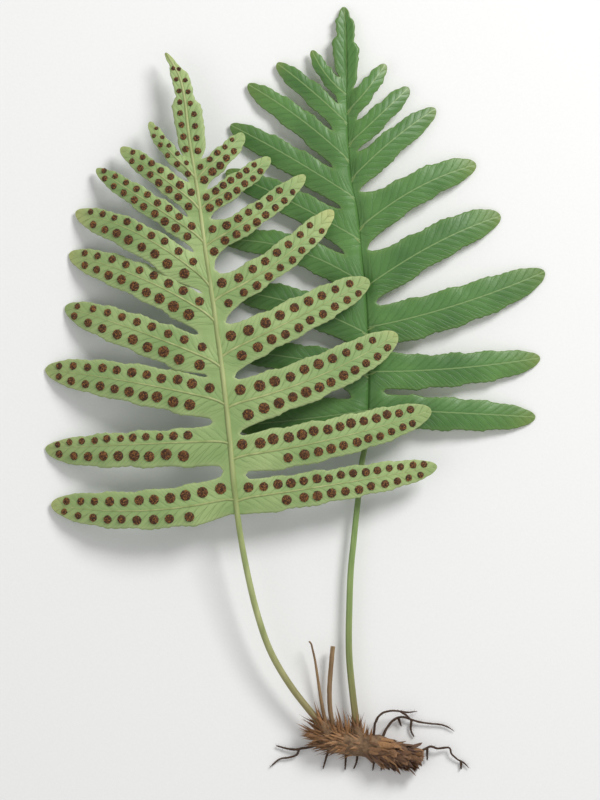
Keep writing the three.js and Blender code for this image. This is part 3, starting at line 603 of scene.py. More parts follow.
for name, limbs in ROOTS.items():
    bm = bmesh.new()
    for points in limbs:
        seed = 3 * points[0][0]

        def wiry(t, turn):
            swell = min(1, ROOT_TIP + 9 * t)
            return mix(*ROOT_RADII, t) * (1 + ROOT_LUMP * lumps(seed + 14 * t, turn)) * swell

        limb(bm, points, wiry, sides=10, steps=ROOT_RINGS * len(points))
        track = smooth_path(points, HAIRS * len(points))
        for n, (p, q) in enumerate(zip(track, track[1:])):
            if n > HAIRY_SHARE * len(track):
                break
            turn = rng.uniform(0, 2 * math.pi)
            across = (q - p).cross(UP).normalized()
            out = across * math.cos(turn) + UP * math.sin(turn)
            tip = p + out * draw(HAIR_LENGTHS) + (p - q).normalized() * draw(HAIR_LEANS)
            tip.z = max(tip.z, HAIR_FLOOR)
            bend = p.lerp(tip, 0.5) + UP * draw(HAIR_BENDS)
            small = bmesh.new()
            limb(small, [tip, bend, p], lambda t, _: HAIR_RADIUS * t, sides=3, steps=3)
            graft(bm, small)
    rest_on(bm, FLOOR)
    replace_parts(finished(bm, name + "_bark", [root_bark]), name)

# Two stubs are all that is left of older stipes, each still on its knob. They are dry and straw
# brown: the thin one has curled over at its end, and the thick one has broken off square.
STRAW_RIDGES = 5
STRAW_RIDGE = 0.1

dry_straw = mottled("dry_straw", roughness=0.7, colors=((0.33, 0.215, 0.105), (0.15, 0.085, 0.04)),
                    relief=0.0003, scale=700, detail=3.0, stretch=(1, 0.12, 1))

for name, (points, radii) in STUBS.items():
    bm = bmesh.new()

    def shrunk(t, turn):
        ridges = STRAW_RIDGE * math.sin(STRAW_RIDGES * turn)
        ridges += STRAW_RIDGE * lumps(18 * t, turn)
        return mix(*radii, t) * (1 + ridges)

    limb(bm, points, shrunk, sides=20, steps=48)
    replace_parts(finished(bm, name + "_straw", [dry_straw], crease=50), name)

# The back frond lies with its upper side showing. Its blade is one leathery leaf, cut almost to the
# rachis into long lobes with finely waved margins, and it grew as one piece with its stipe.
BLADE_THICKNESS = 0.8  # in the part's source
SHEET_THICKNESS = 0.75 * BLADE_THICKNESS
MARGIN_DROOP = 0.9
NOTCH_DROOP = MARGIN_DROOP / 3
FLUTE = 0.3
FLUTES = 0.45  # radians of the flutes for each millimetre along a lobe
HALF_WAVE = 7.6  # millimetres of a lobe for each half wave of its margin
MARGIN_WAVE = 0.4
TOOTH_LEAN = 0.35
FINE_WAVE = 0.2
FINE_TEETH = 1.75  # radians for each millimetre
TIP_CROWDING = 1.25  # how much closer the grid lines are towards a tip
TIP_LINES = (1, 0.6, 0.3, 0.12, 0.03, 0)  # in steps from the tip
SINUS_AT = 0.07  # share of a lobe's length that is joined to its neighbours
WING_LINES = 4
FINE_STEP = 1.25
FINE_ROWS = 20
RIB_SHARES = [0.01 * n for n in range(51)]  # where along a rib its notches are looked for
NOTCH_SPAN = 0.2
NOTCH_EASE = 1.4
NOTCH_ROUND = 1.2  # length of margin, for its radius, over which the bottom of a notch is round
SEAM_REACH = 0.13  # share of a lobe's length over which it blends into the next one
SKIN_LAYERS = ("rim", "far", "seam")
TERMINAL_SLANT = 0.4
TERMINAL_BASE = 0.2  # share of its length over which it widens from its notches
TERMINAL_HALF_WAVES = 6
TROUGH_RISE = 3
TROUGH_FALL = 20
AXIS_SAMPLES = 400
SHEET_WELD = 2e-3
FOOT_RADIUS = 1.5
TIP_RADIUS = 0.5
AXIS_STEPS = 80
GROOVE_DEPTH = 0.24
GROOVE_WIDTH = 0.4
JOINT_SWELL = 0.16
JOINT_REACH = 0.012  # share of the stipe's and rachis's length, at the foot
SUNK = 0.6  # how deep a rachis lies in the upper side of its blade, as a share of its radius
BLADE_FROM = 118  # Y at which the stipe of the back frond becomes its rachis
SINK_REACH = 14
RIB_POINTS = 20
RIB_END = 0.97
RIB_PROUD = 0.22
RIB_RADII = (0.16, 0.55)
RIB_BEND = 1.3  # how far a rib turns down along the rachis where it joins it
RIB_BEND_REACH = 7

# Each lobe: Y of the foot of its rib on the rachis, middle and tip of the rib in plan, half widths
# above and below the rib, and the bottom of the notch below the lobe with its radius.
BACK_LEFT = [
    (279.5, (-12, 287.5), (-18.5, 298.5), 3, 3, (-7.3, 275.5, 0.4)),
    (267, (-18.5, 281), (-33.5, 293), 3.7, 5.1, (-9.5, 264, 0.4)),
    (251, (-23.5, 269), (-46, 284), 4.3, 6.4, (-9.5, 248, 0.5)),
    (235, (-27, 252), (-53.5, 266.5), 5.1, 6.6, (-6, 230.5, 0.6)),
    (217, (-27.5, 233.5), (-55.5, 246.5), 5.8, 6.3, (-4.4, 211, 0.6)),
    (198, (-26.5, 213), (-57, 217), 6, 6, (-3.2, 192.5, 0.8)),
    (176.5, (-23.5, 189), (-54.5, 195.5), 6.8, 7, (-2, 171, 0.8)),
    (159, (-23.5, 166), (-51.5, 169), 6.2, 6.5, (-1.6, 149.5, 0.8)),
    (144, (-23.5, 140), (-50.5, 137.5), 7.3, 7.5, (2, 131.5, 0)),
]
BACK_RIGHT = [
    (272, (4.7, 281), (13, 292.5), 3.8, 3.8, (0.6, 268.5, 0.4)),
    (258, (10.5, 270.5), (23, 282.5), 4.2, 4.7, (0.9, 255, 0.5)),
    (243, (15, 259), (34.5, 273.5), 4.6, 6.4, (1.8, 238, 0.8)),
    (222, (26, 239), (52, 249.5), 6.9, 6.9, (5.2, 213, 1.2)),
    (196.5, (33.5, 215), (62.5, 227.5), 8, 7.6, (9, 190, 1.2)),
    (179.5, (43, 189), (81.5, 203.5), 7.6, 9, (13, 171, 1)),
    (160.5, (43, 162), (79.5, 166.5), 6.4, 7.6, (12, 152, 1)),
    (144.5, (41, 143), (77.5, 141), 6.2, 7.7, (7.8, 132, 0)),
]
# Each half of a blade: its lobes from the top down, its side, the notch under the terminal segment,
# half width and taper of that segment, rise of the ribs at their middle, depth of the trough along
# the rachis, and heights of the lobe tips.
BACK_HALVES = [
    {"lobes": BACK_LEFT, "side": -1, "top": (-6.5, 287, 0.4), "terminal": 6.4, "taper": 0.45,
     "rise": 0.5, "trough": 1.7, "lifts": (2, 1, 1, 1, 1, 1, 1, 1, 1)},
    {"lobes": BACK_RIGHT, "side": 1, "top": (-1, 282, 0.4), "terminal": 5.8, "taper": 0.45,
     "rise": 2, "trough": 1.7, "lifts": (3, 2, 1, 1, 0, 0, 0, 0)},
]


def outline(u):
    """Half width of a lobe along it, as a share of its half width at the middle."""
    return (1.12 - 0.24 * u) * max(0, 1 - u ** 7) ** 0.52


def spread(share):
    """The place of a grid line on a lobe, from its even share. The lines are closer towards the tip."""
    return 1 - (1 - share) ** TIP_CROWDING


def evenly(u):
    """The even share of a grid line, from its place."""
    return 1 - (1 - u) ** (1 / TIP_CROWDING)


def beside(point, rachis, trough):
    """A point of the blade raised beside the rachis, so that the rachis lies in a shallow trough."""
    away = abs(point.x - rachis(point.y).x)
    rise = (1 - math.exp(-(away / TROUGH_RISE) ** 2)) * math.exp(-away / TROUGH_FALL)
    return point + UP * (trough * rise)


def grid_lines(first, steps):
    """Even shares from the first to 1, with closer ones at the end, where a tip rounds off."""
    shares = [n / steps for n in range(steps - 1)] + [1 - near / steps for near in TIP_LINES]
    return [mix(first, 1, share) for share in shares]


def rachis_of(axis):
    """The rachis at a given Y."""
    samples = smooth_path(axis, AXIS_SAMPLES)
    levels = [-p.y for p in samples]

    def at(y):
        k = min(max(bisect_left(levels, -y), 1), len(samples) - 1)
        a, b = samples[k - 1], samples[k]
        return a.lerp(b, (y - a.y) / (b.y - a.y))

    return at


def blunt_teeth(turn):
    """Blunt teeth of a margin that lean towards the tip: about -1.2 to 1.2, a full turn for each."""
    return math.cos(turn) + TOOTH_LEAN * math.sin(2 * turn)


def fine_wave(s, v, seed):
    """Small uneven teeth of a margin, s millimetres along it."""
    uneven = 1.4 * noise.noise((0.55 * s, seed + 3 * v, 0))
    return FINE_WAVE * (math.sin(FINE_TEETH * s + seed + v) + uneven)


def lobe_surface(half, k, rachis):
    """A lobe as a surface at(u, v): u from the rachis to the tip, v from its upper to its lower margin.
    It gives a point, and the place on the leaf in millimetres along and away from the rib."""
    base, mid, tip, up, low, sinus = half["lobes"][k]
    above = half["top"] if k == 0 else half["lobes"][k - 1][5]
    root = rachis(base)
    tip = Vector((*tip, half["lifts"][k] + BLADE_THICKNESS / 2))
    bend = Vector((2 * mid[0] - (root.x + tip.x) / 2, 2 * mid[1] - (root.y + tip.y) / 2, 0))
    length = (tip - root).xy.length
    half_waves = max(6, 2 * round(length / HALF_WAVE / 2))
    seed = 1.7 * base

    def rib(t):
        point = (1 - t) ** 2 * root + 2 * t * (1 - t) * bend + t ** 2 * tip
        point.z = mix(root.z, tip.z, t ** 2) + half["rise"] * math.sin(math.pi * t)
        return point

    def edge(t, v, wave):
        way = (1 - t) * (bend - root) + t * (tip - bend)
        turn = (-half["side"] if v < 0 else half["side"]) / way.xy.length
        width = (up if v < 0 else low) * outline(t) + wave
        flute = FLUTE * math.sin(FLUTES * t * length + seed + v) * (1 - t ** 4)
        drop = MARGIN_DROOP * outline(t) ** 2 - flute
        return rib(t) + Vector((way.y * turn * width, -way.x * turn * width, -drop)), width

    notches = [Vector((x, y, rachis(y).z - NOTCH_DROOP)) for x, y, _ in (above, sinus)]
    starts = [min(RIB_SHARES, key=lambda t: (rib(t) - p).xy.length) for p in notches]

    def free(u, v):
        side = 0 if v < 0 else 1
        run = (u - SINUS_AT) / (1 - SINUS_AT)
        t = mix(mix(SINUS_AT, starts[side], abs(v)), 1, run)
        wave = MARGIN_WAVE * blunt_teeth(math.pi * half_waves * evenly(u)) * (1 - u ** 4)
        wave += fine_wave(t * length, math.copysign(1, v), seed) * (1 - u ** 6)
        near = max(0, 1 - run / NOTCH_SPAN)
        pull = near ** NOTCH_EASE
        start, _ = edge(starts[side], v, 0)
        margin, width = edge(t, v, wave * (1 - pull))
        margin += (notches[side] - start) * pull
        middle = rib(t)
        radius = (above, sinus)[side][2]
        rounding = math.sqrt(1 - (1 - min(1, run * length / (NOTCH_ROUND * max(radius, 0.1)))) ** 2)
        margin += (middle - margin).normalized() * (radius * rounding * near)
        point = middle.lerp(margin, abs(v))
        point.z = mix(middle.z, margin.z, v ** 2)
        return point, (t * length, width * v)

    def at(u, v):
        if u >= SINUS_AT:
            return free(u, v)
        station = mix(base, (above if v < 0 else sinus)[1], abs(v))
        point, (s, w) = free(SINUS_AT, v)
        share = u / SINUS_AT
        foot = rachis(station)
        return foot.lerp(point, share), (s * share, mix(base - station, w, share))

    def raised(u, v):
        point, place = at(u, v)
        return beside(point, rachis, half["trough"]), place

    wing = [SINUS_AT * n / WING_LINES for n in range(WING_LINES)]
    fine = max(10, round(length / FINE_STEP))
    us = wing + [spread(share) for share in grid_lines(evenly(SINUS_AT), fine)]
    us[WING_LINES] = SINUS_AT
    vs = [mix(-1, 1, n / FINE_ROWS) for n in range(FINE_ROWS + 1)]
    return {"at": raised, "us": us, "vs": vs, "length": length, "up": up, "low": low, "free_from": SINUS_AT}


def terminal_surface(half, rachis, axis):
    """Half of the terminal segment: u from its base to its tip, v from the rachis to the margin."""
    x, y, _ = half["top"]
    tip_y = axis[0][1]
    foot = rachis(y)
    notch_way = Vector((x, y, foot.z - NOTCH_DROOP)) - foot

    def at(u, v):
        centre = rachis(mix(y, tip_y, min(u, 0.999)))
        s = u * (tip_y - y)
        wave = 2 * MARGIN_WAVE * blunt_teeth(math.pi * TERMINAL_HALF_WAVES * evenly(u)) * (1 - u ** 4)
        wave += fine_wave(s, 1, half["side"]) * (1 - u ** 6)
        width = half["terminal"] * (1 - half["taper"] * u) * outline(u) + wave
        way = Vector((half["side"] * width, TERMINAL_SLANT * width, -NOTCH_DROOP))
        way = notch_way.lerp(way, min(1, u / TERMINAL_BASE) ** 0.8) * v
        return beside(centre + way, rachis, half["trough"]), (s, half["side"] * way.xy.length)

    fine = round((tip_y - y) / FINE_STEP)
    us = [spread(share) for share in grid_lines(0, fine)]
    return {"at": at, "us": us, "vs": [n / WING_LINES for n in range(WING_LINES + 1)], "free_from": 0}


def add_blade(bm, surface):
    """One surface as a grid, with the place on the leaf as its UV map, in centimetres, and how near
    each point is to the margin, to the tip and to the line where the next lobe begins."""
    us, vs, at = surface["us"], surface["vs"], surface["at"]
    across, along_it = len(us) - 1, len(vs) - 1
    rim, far, seam = (bm.verts.layers.float[layer] for layer in SKIN_LAYERS)
    verts = bmesh.ops.create_grid(bm, x_segments=across, y_segments=along_it, size=0.5)["verts"]
    uv_map = bm.loops.layers.uv.verify()
    places = {}
    for vert in verts:
        u, v = us[round((vert.co.x + 0.5) * across)], vs[round((vert.co.y + 0.5) * along_it)]
        vert.co, places[vert] = at(u, v)
        vert[rim] = abs(v) ** 8 if u >= surface["free_from"] else 0
        vert[far] = u
        vert[seam] = abs(v) ** 3 * max(0, 1 - u / SEAM_REACH) if surface["free_from"] else 0
    for face in {f for v in verts for f in v.link_faces}:
        for loop in face.loops:
            s, w = places[loop.vert]
            loop[uv_map].uv = (s / CM, w / CM)


def axis_radius(t):
    """Radius of rachis and stipe, from the tip of the frond to its foot."""
    return TIP_RADIUS + (FOOT_RADIUS - TIP_RADIUS) * t ** 0.7


def frond(name, axis, halves, abaxial_up, skins, cord_skin):
    """The blade as a thin sheet with its two skins, and its stipe, rachis and ribs as cords."""
    rachis = rachis_of(axis)
    surfaces = []
    bm = bmesh.new()
    for half in halves:
        half_bm = bmesh.new()
        for layer in SKIN_LAYERS:
            half_bm.verts.layers.float.new(layer)
        terminal = terminal_surface(half, rachis, axis)
        add_blade(half_bm, terminal)
        lobes = [lobe_surface(half, k, rachis) for k in range(len(half["lobes"]))]
        for surface in lobes:
            add_blade(half_bm, surface)
        bmesh.ops.remove_doubles(half_bm, verts=half_bm.verts, dist=SHEET_WELD)
        graft(bm, half_bm)
        surfaces.append((half, lobes, terminal))
    bm.normal_update()
    bmesh.ops.reverse_faces(bm, faces=[f for f in bm.faces if f.normal.z < 0])
    blade = finished(bm, name + "_blade", skins, closed=False)
    skin = blade.modifiers.new("thickness", "SOLIDIFY")
    skin.thickness = SHEET_THICKNESS * MM
    skin.offset = 0
    skin.material_offset = 1

    bm = bmesh.new()
    groove = -math.pi / 2 if abaxial_up else math.pi / 2

    def stalk(t, turn):
        away = math.remainder(turn - groove, 2 * math.pi)
        dent = GROOVE_DEPTH * math.exp(-(away / GROOVE_WIDTH) ** 2) * min(1, 4 * t)
        joint = JOINT_SWELL * math.exp(-((1 - t) / JOINT_REACH) ** 2)
        return axis_radius(t) * (1 - dent + joint)

    stations = smooth_path(axis, AXIS_STEPS)
    if not abaxial_up:
        for n, p in enumerate(stations):
            p.z -= SUNK * axis_radius(n / AXIS_STEPS) * min(max((p.y - BLADE_FROM) / SINK_REACH, 0), 1)
    limb(bm, stations, stalk, sides=24, steps=2 * AXIS_STEPS)
    out = 1 if abaxial_up else -1
    for _, lobes, _ in surfaces:
        for surface in lobes:
            shares = [RIB_END * (1 - n / RIB_POINTS) for n in range(RIB_POINTS + 1)]
            points = [surface["at"](share, 0)[0] for share in shares]
            foot = points[-1]
            points = [p + UP * (out * RIB_PROUD) for p in points]
            for p in points:
                p.y -= RIB_BEND * max(0, 1 - (p - foot).xy.length / RIB_BEND_REACH) ** 2
            limb(bm, points, lambda t, _: mix(*RIB_RADII, t ** 1.3), sides=10, steps=24)
    finished(bm, name + "_cords", [cord_skin])
    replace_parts(blade, "frond_" + name)
    return surfaces


# The veins leave each rib, run forward and fork before they reach the margin. They are a pattern on
# the UV map of the blade, so their sizes are in centimetres.
VEIN_SPACING = 0.42
VEIN_SLANT = 1.15
VEIN_FORKS_AT = 0.12
VEIN_FORK = 0.17
VEIN_WIDTH = 0.018
VEIN_STRAY = 0.13
STRAY_SCALE = 2.6
RIB_WIDTH = 0.035
# Half width, in centimetres, of the band on each side of a rib that the skins darken as painted shade.
RIB_SHADE_WIDTH = 0.13

veins = bpy.data.node_groups.new("leaf_veins", "ShaderNodeTree")
veins.interface.new_socket(name="Place", in_out="INPUT", socket_type="NodeSocketVector")
for name in ("Veins", "Rib", "Painted_rib_shade", "Quilting"):
    veins.interface.new_socket(name=name, in_out="OUTPUT", socket_type="NodeSocketFloat")
group_in = veins.nodes.new("NodeGroupInput")
group_out = veins.nodes.new("NodeGroupOutput")
parts = veins.nodes.new("ShaderNodeSeparateXYZ")
veins.links.new(group_in.outputs["Place"], parts.inputs[0])
wobble = veins.nodes.new("ShaderNodeTexNoise")
wobble.inputs["Scale"].default_value = STRAY_SCALE
wobble.inputs["Detail"].default_value = 2.0
veins.links.new(group_in.outputs["Place"], wobble.inputs["Vector"])
away = calc(veins, "ABSOLUTE", parts.outputs["Y"])
forward = calc(veins, "MULTIPLY", calc(veins, "POWER", away, 0.85), VEIN_SLANT)
strayed = calc(veins, "MULTIPLY_ADD", wobble.outputs["Fac"], VEIN_STRAY, parts.outputs["X"])
shift = calc(veins, "DIVIDE", calc(veins, "SUBTRACT", strayed, forward), VEIN_SPACING)
from_vein = calc(veins, "ABSOLUTE", calc(veins, "SUBTRACT", calc(veins, "FRACT", shift), 0.5))
from_vein = calc(veins, "MULTIPLY", from_vein, VEIN_SPACING)
past_fork = calc(veins, "MAXIMUM", calc(veins, "SUBTRACT", away, VEIN_FORKS_AT), 0)
fork = calc(veins, "MULTIPLY", past_fork, VEIN_FORK)
from_branch = calc(veins, "ABSOLUTE", calc(veins, "SUBTRACT", from_vein, fork))
# Lines of the veins and the rib, and a wider band round the rib that the skins darken as painted shade.
for output, distance, width in (
    ("Veins", from_branch, VEIN_WIDTH), ("Rib", away, RIB_WIDTH), ("Painted_rib_shade", away, RIB_SHADE_WIDTH),
):
    line = calc(veins, "SUBTRACT", 1, calc(veins, "DIVIDE", distance, width), clamp=True)
    veins.links.new(line, group_out.inputs[output])
cushion = calc(veins, "MULTIPLY", from_branch, 2 / VEIN_SPACING, clamp=True)
veins.links.new(cushion, group_out.inputs["Quilting"])

# The green skins of a blade, with their reliefs in quarters of a millimetre.
SEAM_FADE = 1.6
TIP_FADE_SHARE = 0.55
BLOT_RELIEF = 0.12
CUSHION_RELIEF = 0.3
RIB_GREEN = (0.24, 0.36, 0.13)


def leaf_skin(name, roughness, deep, light, vein, vein_share, relief, edge_tint, tip_tint):
    """Mottled green leaf tissue with veins, painted shade beside the ribs, a paler margin and a faded tip.
    """
    material, tree, shader = new_material(name, roughness)
    place = tree.nodes.new("ShaderNodeUVMap")
    pattern = tree.nodes.new("ShaderNodeGroup")
    pattern.node_tree = veins
    tree.links.new(place.outputs["UV"], pattern.inputs["Place"])
    broad = mottling(tree, scale=45, detail=2.0)
    fine_blots = mottling(tree, scale=900, detail=3.0)
    seam = calc(tree, "MULTIPLY", attribute(tree, "seam"), SEAM_FADE)
    clear = calc(tree, "SUBTRACT", 1, seam, clamp=True)
    vein_lines = calc(tree, "MULTIPLY", pattern.outputs["Veins"], clear)
    cushions = calc(tree, "MULTIPLY", pattern.outputs["Quilting"], clear)
    tissue = blend_colors(tree, broad, deep, light)
    tissue = tinted(tree, tissue, fine_blots, share=0.25, tint=deep)
    # Painted shade: the tissue is darkened in a band along each side of the rib.
    tissue = tinted(tree, tissue, pattern.outputs["Painted_rib_shade"], share=0.45, tint=deep)
    tissue = tinted(tree, tissue, vein_lines, share=vein_share, tint=vein)
    tissue = tinted(tree, tissue, attribute(tree, "rim"), share=0.5, tint=edge_tint)
    faded = calc(tree, "MULTIPLY", calc(tree, "POWER", attribute(tree, "far"), 10), TIP_FADE_SHARE)
    tissue = tinted(tree, tissue, faded, share=broad, tint=tip_tint)
    paint(tree, shader, tissue)
    height = calc(tree, "MULTIPLY_ADD", vein_lines, relief, calc(tree, "MULTIPLY", fine_blots, BLOT_RELIEF))
    height = calc(tree, "MULTIPLY_ADD", cushions, CUSHION_RELIEF, height)
    bump(tree, shader, height, distance=0.00025)
    return material, tree, shader, pattern, tissue


upper_skin, tree, shader, pattern, tissue = leaf_skin(
    "leaf_upper_side", roughness=0.42, deep=(0.055, 0.15, 0.032), light=(0.115, 0.26, 0.062),
    vein=(0.035, 0.1, 0.022), vein_share=0.3, relief=-0.25,
    edge_tint=(0.19, 0.31, 0.09), tip_tint=(0.3, 0.3, 0.07))
paint(tree, shader, blend_colors(tree, pattern.outputs["Rib"], tissue, RIB_GREEN))
under_skin, *_ = leaf_skin(
    "leaf_underside", roughness=0.62, deep=(0.22, 0.34, 0.115), light=(0.38, 0.5, 0.2),
    vein=(0.15, 0.25, 0.07), vein_share=0.4, relief=0.5,
    edge_tint=(0.48, 0.55, 0.26), tip_tint=(0.52, 0.46, 0.15))

# Where a stipe turns from brown to green, and over what length, in metres.
BROWN_FROM = 0.006
BROWN_REACH = 0.08


def cord_material(name, dark, pale):
    """The skin of stipe, rachis and ribs: streaked along its length, and brown towards the foot."""
    material, tree, shader = new_material(name, roughness=0.48)
    strand = mottling(tree, scale=260, detail=3.0, stretch=(1, 0.2, 1))
    place = tree.nodes.new("ShaderNodeTexCoord")
    parts = tree.nodes.new("ShaderNodeSeparateXYZ")
    tree.links.new(place.outputs["Object"], parts.inputs[0])
    height = calc(tree, "SUBTRACT", parts.outputs["Y"], BROWN_FROM)
    above_foot = calc(tree, "DIVIDE", height, BROWN_REACH, clamp=True)
    foot = calc(tree, "POWER", calc(tree, "SUBTRACT", 1, above_foot), 2)
    green = blend_colors(tree, strand, dark, pale)
    paint(tree, shader, tinted(tree, green, foot, share=0.85, tint=(0.2, 0.11, 0.045)))
    bump(tree, shader, strand, distance=0.0002)
    return material


cord_pale = cord_material("pale_cord", dark=(0.24, 0.31, 0.1), pale=(0.46, 0.5, 0.22))
cord_green = cord_material("green_cord", dark=(0.15, 0.25, 0.07), pale=(0.27, 0.37, 0.12))

frond("back", BACK_AXIS, BACK_HALVES, False, [upper_skin, under_skin], cord_green)

# The front frond is a leathery leaf like the back one, grown as one piece on the knob next to the
# growing tip. It is turned over, so its paler underside shows, with stout ribs and the sori.
FRONT_LEFT = [
    (245, (-79.8, 255.3), (-88, 267.5), 2.7, 3.2, (-71, 241.5, 0.5)),
    (231, (-83, 244), (-100.5, 256.5), 4.2, 5, (-71.5, 226.5, 0.6)),
    (217, (-87, 232), (-111, 247.5), 4.3, 5.4, (-69, 211.5, 0.6)),
    (198, (-91, 218.5), (-120, 229), 4.8, 8.5, (-65.5, 194, 0.8)),
    (183, (-90.5, 200), (-122.8, 211), 6.2, 8.5, (-67, 176.5, 0.7)),
    (163.5, (-90.5, 177), (-124.5, 188.3), 6.8, 9, (-63, 158.5, 0.7)),
    (147.5, (-92.5, 155.5), (-133, 161.5), 7.9, 8.9, (-61, 139, 1.1)),
    (131, (-92.5, 129.5), (-133, 127.5), 5.5, 10, (-56.5, 118, 1.9)),
    (107, (-91, 101), (-130.5, 103.5), 8.6, 7.9, (-53.3, 99.5, 0)),
]
FRONT_RIGHT = [
    (243.5, (-58, 252.5), (-48, 262.5), 3.4, 5.2, (-63.5, 238.5, 0.6)),
    (231, (-51.5, 240.5), (-36.5, 252), 4.4, 4.7, (-62, 226, 0.7)),
    (215, (-42.5, 227.5), (-21.5, 244.5), 5, 4.9, (-60.3, 204.4, 2.6)),
    (191.5, (-33, 207.5), (-9.5, 229.5), 6.6, 5.7, (-55.5, 181.5, 1.1)),
    (167.5, (-25, 183.5), (6, 199.5), 8.2, 7.6, (-51.6, 158, 1.1)),
    (146, (-17, 158), (18, 176.5), 9, 9, (-49.5, 133.8, 0.9)),
    (124, (-8.5, 132), (32.5, 144), 8.8, 8.1, (-47, 116.2, 1.6)),
    (106, (-7.5, 112.5), (35, 120), 6.7, 7.2, (-47.3, 99.5, 0)),
]
# These halves also say of each lobe, above and below its rib, at which share of its length its row of
# sori begins, how many millimetres before its tip the row ends, and how many sori it has.
FRONT_HALVES = [
    {"lobes": FRONT_LEFT, "side": -1, "top": (-73.5, 252.5, 0.4), "terminal": 6.4, "taper": 0.45,
     "rise": 2, "trough": 0, "lifts": (9, 6, 3, 1, 0, 0, 0, 0, 1),
     "bare_up": (0.08, 0.08, 0.08, 0.1, 0.1, 0.09, 0.08, 0.22, 0.08),
     "bare_low": (0.11, 0.11, 0.15, 0.18, 0.17, 0.13, 0.21, 0.27, 0.27),
     "bare_tip_up": (4.6, 6.1, 3.4, 7.5, 6.8, 5.7, 5.5, 5.5, 6),
     "bare_tip_low": (6, 7, 4.9, 9.5, 8, 5.2, 5.5, 5.5, 6),
     "sori_up": (5, 7, 9, 9, 9, 9, 11, 11, 11), "sori_low": (5, 7, 9, 8, 9, 9, 10, 9, 9)},
    {"lobes": FRONT_RIGHT, "side": 1, "top": (-66, 251.5, 0.4), "terminal": 8.3, "taper": 0.75,
     "rise": 1.5, "trough": 0, "lifts": (12, 12, 12, 12, 12, 12, 12, 11),
     "bare_up": (0.08, 0.08, 0.08, 0.09, 0.08, 0.09, 0.07, 0.07),
     "bare_low": (0.11, 0.11, 0.09, 0.11, 0.13, 0.12, 0.27, 0.26),
     "bare_tip_up": (5.8, 7.5, 12.5, 11.5, 8.7, 10.3, 9, 5.5),
     "bare_tip_low": (8, 6.4, 7.8, 9.4, 7, 6.5, 9.5, 7.4),
     "sori_up": (5, 7, 7, 8, 9, 10, 14, 15), "sori_low": (5, 7, 9, 9, 10, 12, 11, 11)},
]
front_surfaces = frond(
    "front", FRONT_AXIS, FRONT_HALVES, True, [under_skin, upper_skin], cord_pale)

# Sori are round heaps of tiny spore cases that grow on the underside, in two rows on each lobe, rusty
# brown when ripe. They are larger on a wide lobe and smaller towards each tip.
SORUS_SEEN = 0.88  # share of its radius in the part's source that is clear of the leaf
SORUS_LEAST = 1.35
SORUS_GROWTH = 0.17  # of the half width of the lobe
SORUS_SHARE = 0.5
SORUS_HEIGHT = 0.9
SORUS_ROW = 0.5  # share of the half width of the lobe
ROW_CROWDING = 0.92
SORUS_SHRINK = 0.38
TERMINAL_SORI = 8
TERMINAL_ROW = (0.06, 0.84, 0.46)
TERMINAL_RADII = (1.8, 1)
SORUS_SIZES = (0.92, 1.08)
SORUS_STRAY = ((-0.004, 0.004), (-0.04, 0.04))  # along and across its lobe, in shares
PROBE = (0.01, 0.02)  # steps along and across the lobe that find how it slopes
DOME_WIDTH = 0.96
DOME_HEIGHT = 0.62
DOME_RIPENESS = 0.08
CASE_RADIUS = 0.26
CASE_SIZES = (0.85, 1.25)
CASE_HEIGHTS = (0.85, 1.15)
CASE_COLORS = ((0.045, 0.017, 0.007), (0.42, 0.18, 0.045))
FULL_HEAP = 46  # spore cases that show on the largest sorus
HEAP_REACH = 0.92
HEAP_TOP = 0.72
HEAP_FALL = 0.66
LARGEST_SORUS = 2.3
GOLDEN_ANGLE = 2.39996

spore_cases, tree, shader = new_material("spore_cases", roughness=0.6)
paint(tree, shader, blend_colors(tree, attribute(tree, "ripeness"), *CASE_COLORS))
bump(tree, shader, mottling(tree, scale=4000, detail=2.0), distance=0.00008)


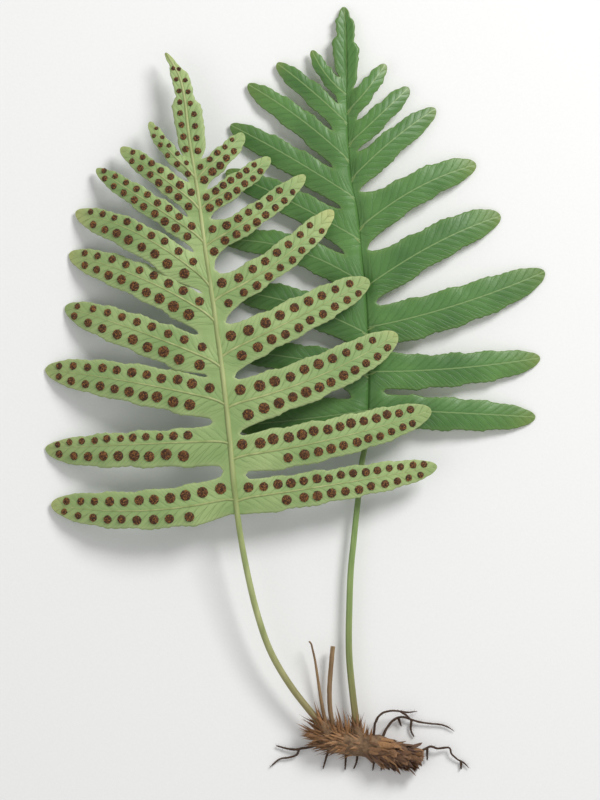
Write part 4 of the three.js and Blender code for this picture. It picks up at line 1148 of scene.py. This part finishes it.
def sorus(bm, surface, u, v, radius):
    """A low dome under a heap of spore cases, square to the leaf."""
    point, _ = surface["at"](u, v)
    along_it = surface["at"](u + PROBE[0], v)[0] - point
    across = surface["at"](u, v + PROBE[1])[0] - point
    normal = along_it.cross(across).normalized()
    if normal.z < 0:
        normal.negate()
    seat = Matrix.Translation(point + normal * (SHEET_THICKNESS / 2))
    seat = seat @ normal.to_track_quat("Z", "Y").to_matrix().to_4x4()
    small = bmesh.new()
    ripe = small.verts.layers.float.new("ripeness")
    dome = seat @ Matrix.Diagonal((radius * DOME_WIDTH, radius * DOME_WIDTH, SORUS_HEIGHT * DOME_HEIGHT, 1))
    for vert in bmesh.ops.create_icosphere(small, subdivisions=2, radius=1, matrix=dome)["verts"]:
        vert[ripe] = DOME_RIPENESS
    cases = max(7, round(FULL_HEAP * (radius / LARGEST_SORUS) ** 2))
    first = rng.uniform(0, 2 * math.pi)
    for n in range(cases):
        reach = math.sqrt((n + 0.4) / cases) * HEAP_REACH
        turn = first + n * GOLDEN_ANGLE
        height = SORUS_HEIGHT * (HEAP_TOP - HEAP_FALL * reach ** 2) * draw(CASE_HEIGHTS)
        place = Vector((math.cos(turn) * reach * radius, math.sin(turn) * reach * radius, height))
        size = CASE_RADIUS * draw(CASE_SIZES)
        matrix = seat @ Matrix.Translation(place) @ Matrix.Rotation(turn, 4, "X")
        shade = rng.random() ** 1.5
        for vert in bmesh.ops.create_icosphere(small, subdivisions=1, radius=size, matrix=matrix)["verts"]:
            vert[ripe] = shade
    graft(bm, small)


for side, (half, lobes, terminal) in zip(("left", "right"), front_surfaces):
    bm = bmesh.new()
    for k, surface in enumerate(lobes):
        for row, v in (("up", -SORUS_ROW), ("low", SORUS_ROW)):
            width = surface[row]
            widest = SORUS_SEEN * min(SORUS_LEAST + SORUS_GROWTH * width, SORUS_SHARE * width)
            end = 1 - half["bare_tip_" + row][k] / surface["length"]
            count = half["sori_" + row][k]
            for n in range(count):
                u = mix(half["bare_" + row][k], end, (n / (count - 1)) ** ROW_CROWDING)
                radius = widest * (1 - SORUS_SHRINK * u ** 2) * draw(SORUS_SIZES)
                sorus(bm, surface, u + draw(SORUS_STRAY[0]), v + draw(SORUS_STRAY[1]), radius)
    start, end, v = TERMINAL_ROW
    for n in range(TERMINAL_SORI):
        u = mix(start, end, n / (TERMINAL_SORI - 1))
        sorus(bm, terminal, u, v, SORUS_SEEN * mix(*TERMINAL_RADII, u))
    finished(bm, "front_sori_" + side, [spore_cases], crease=180, closed=False)
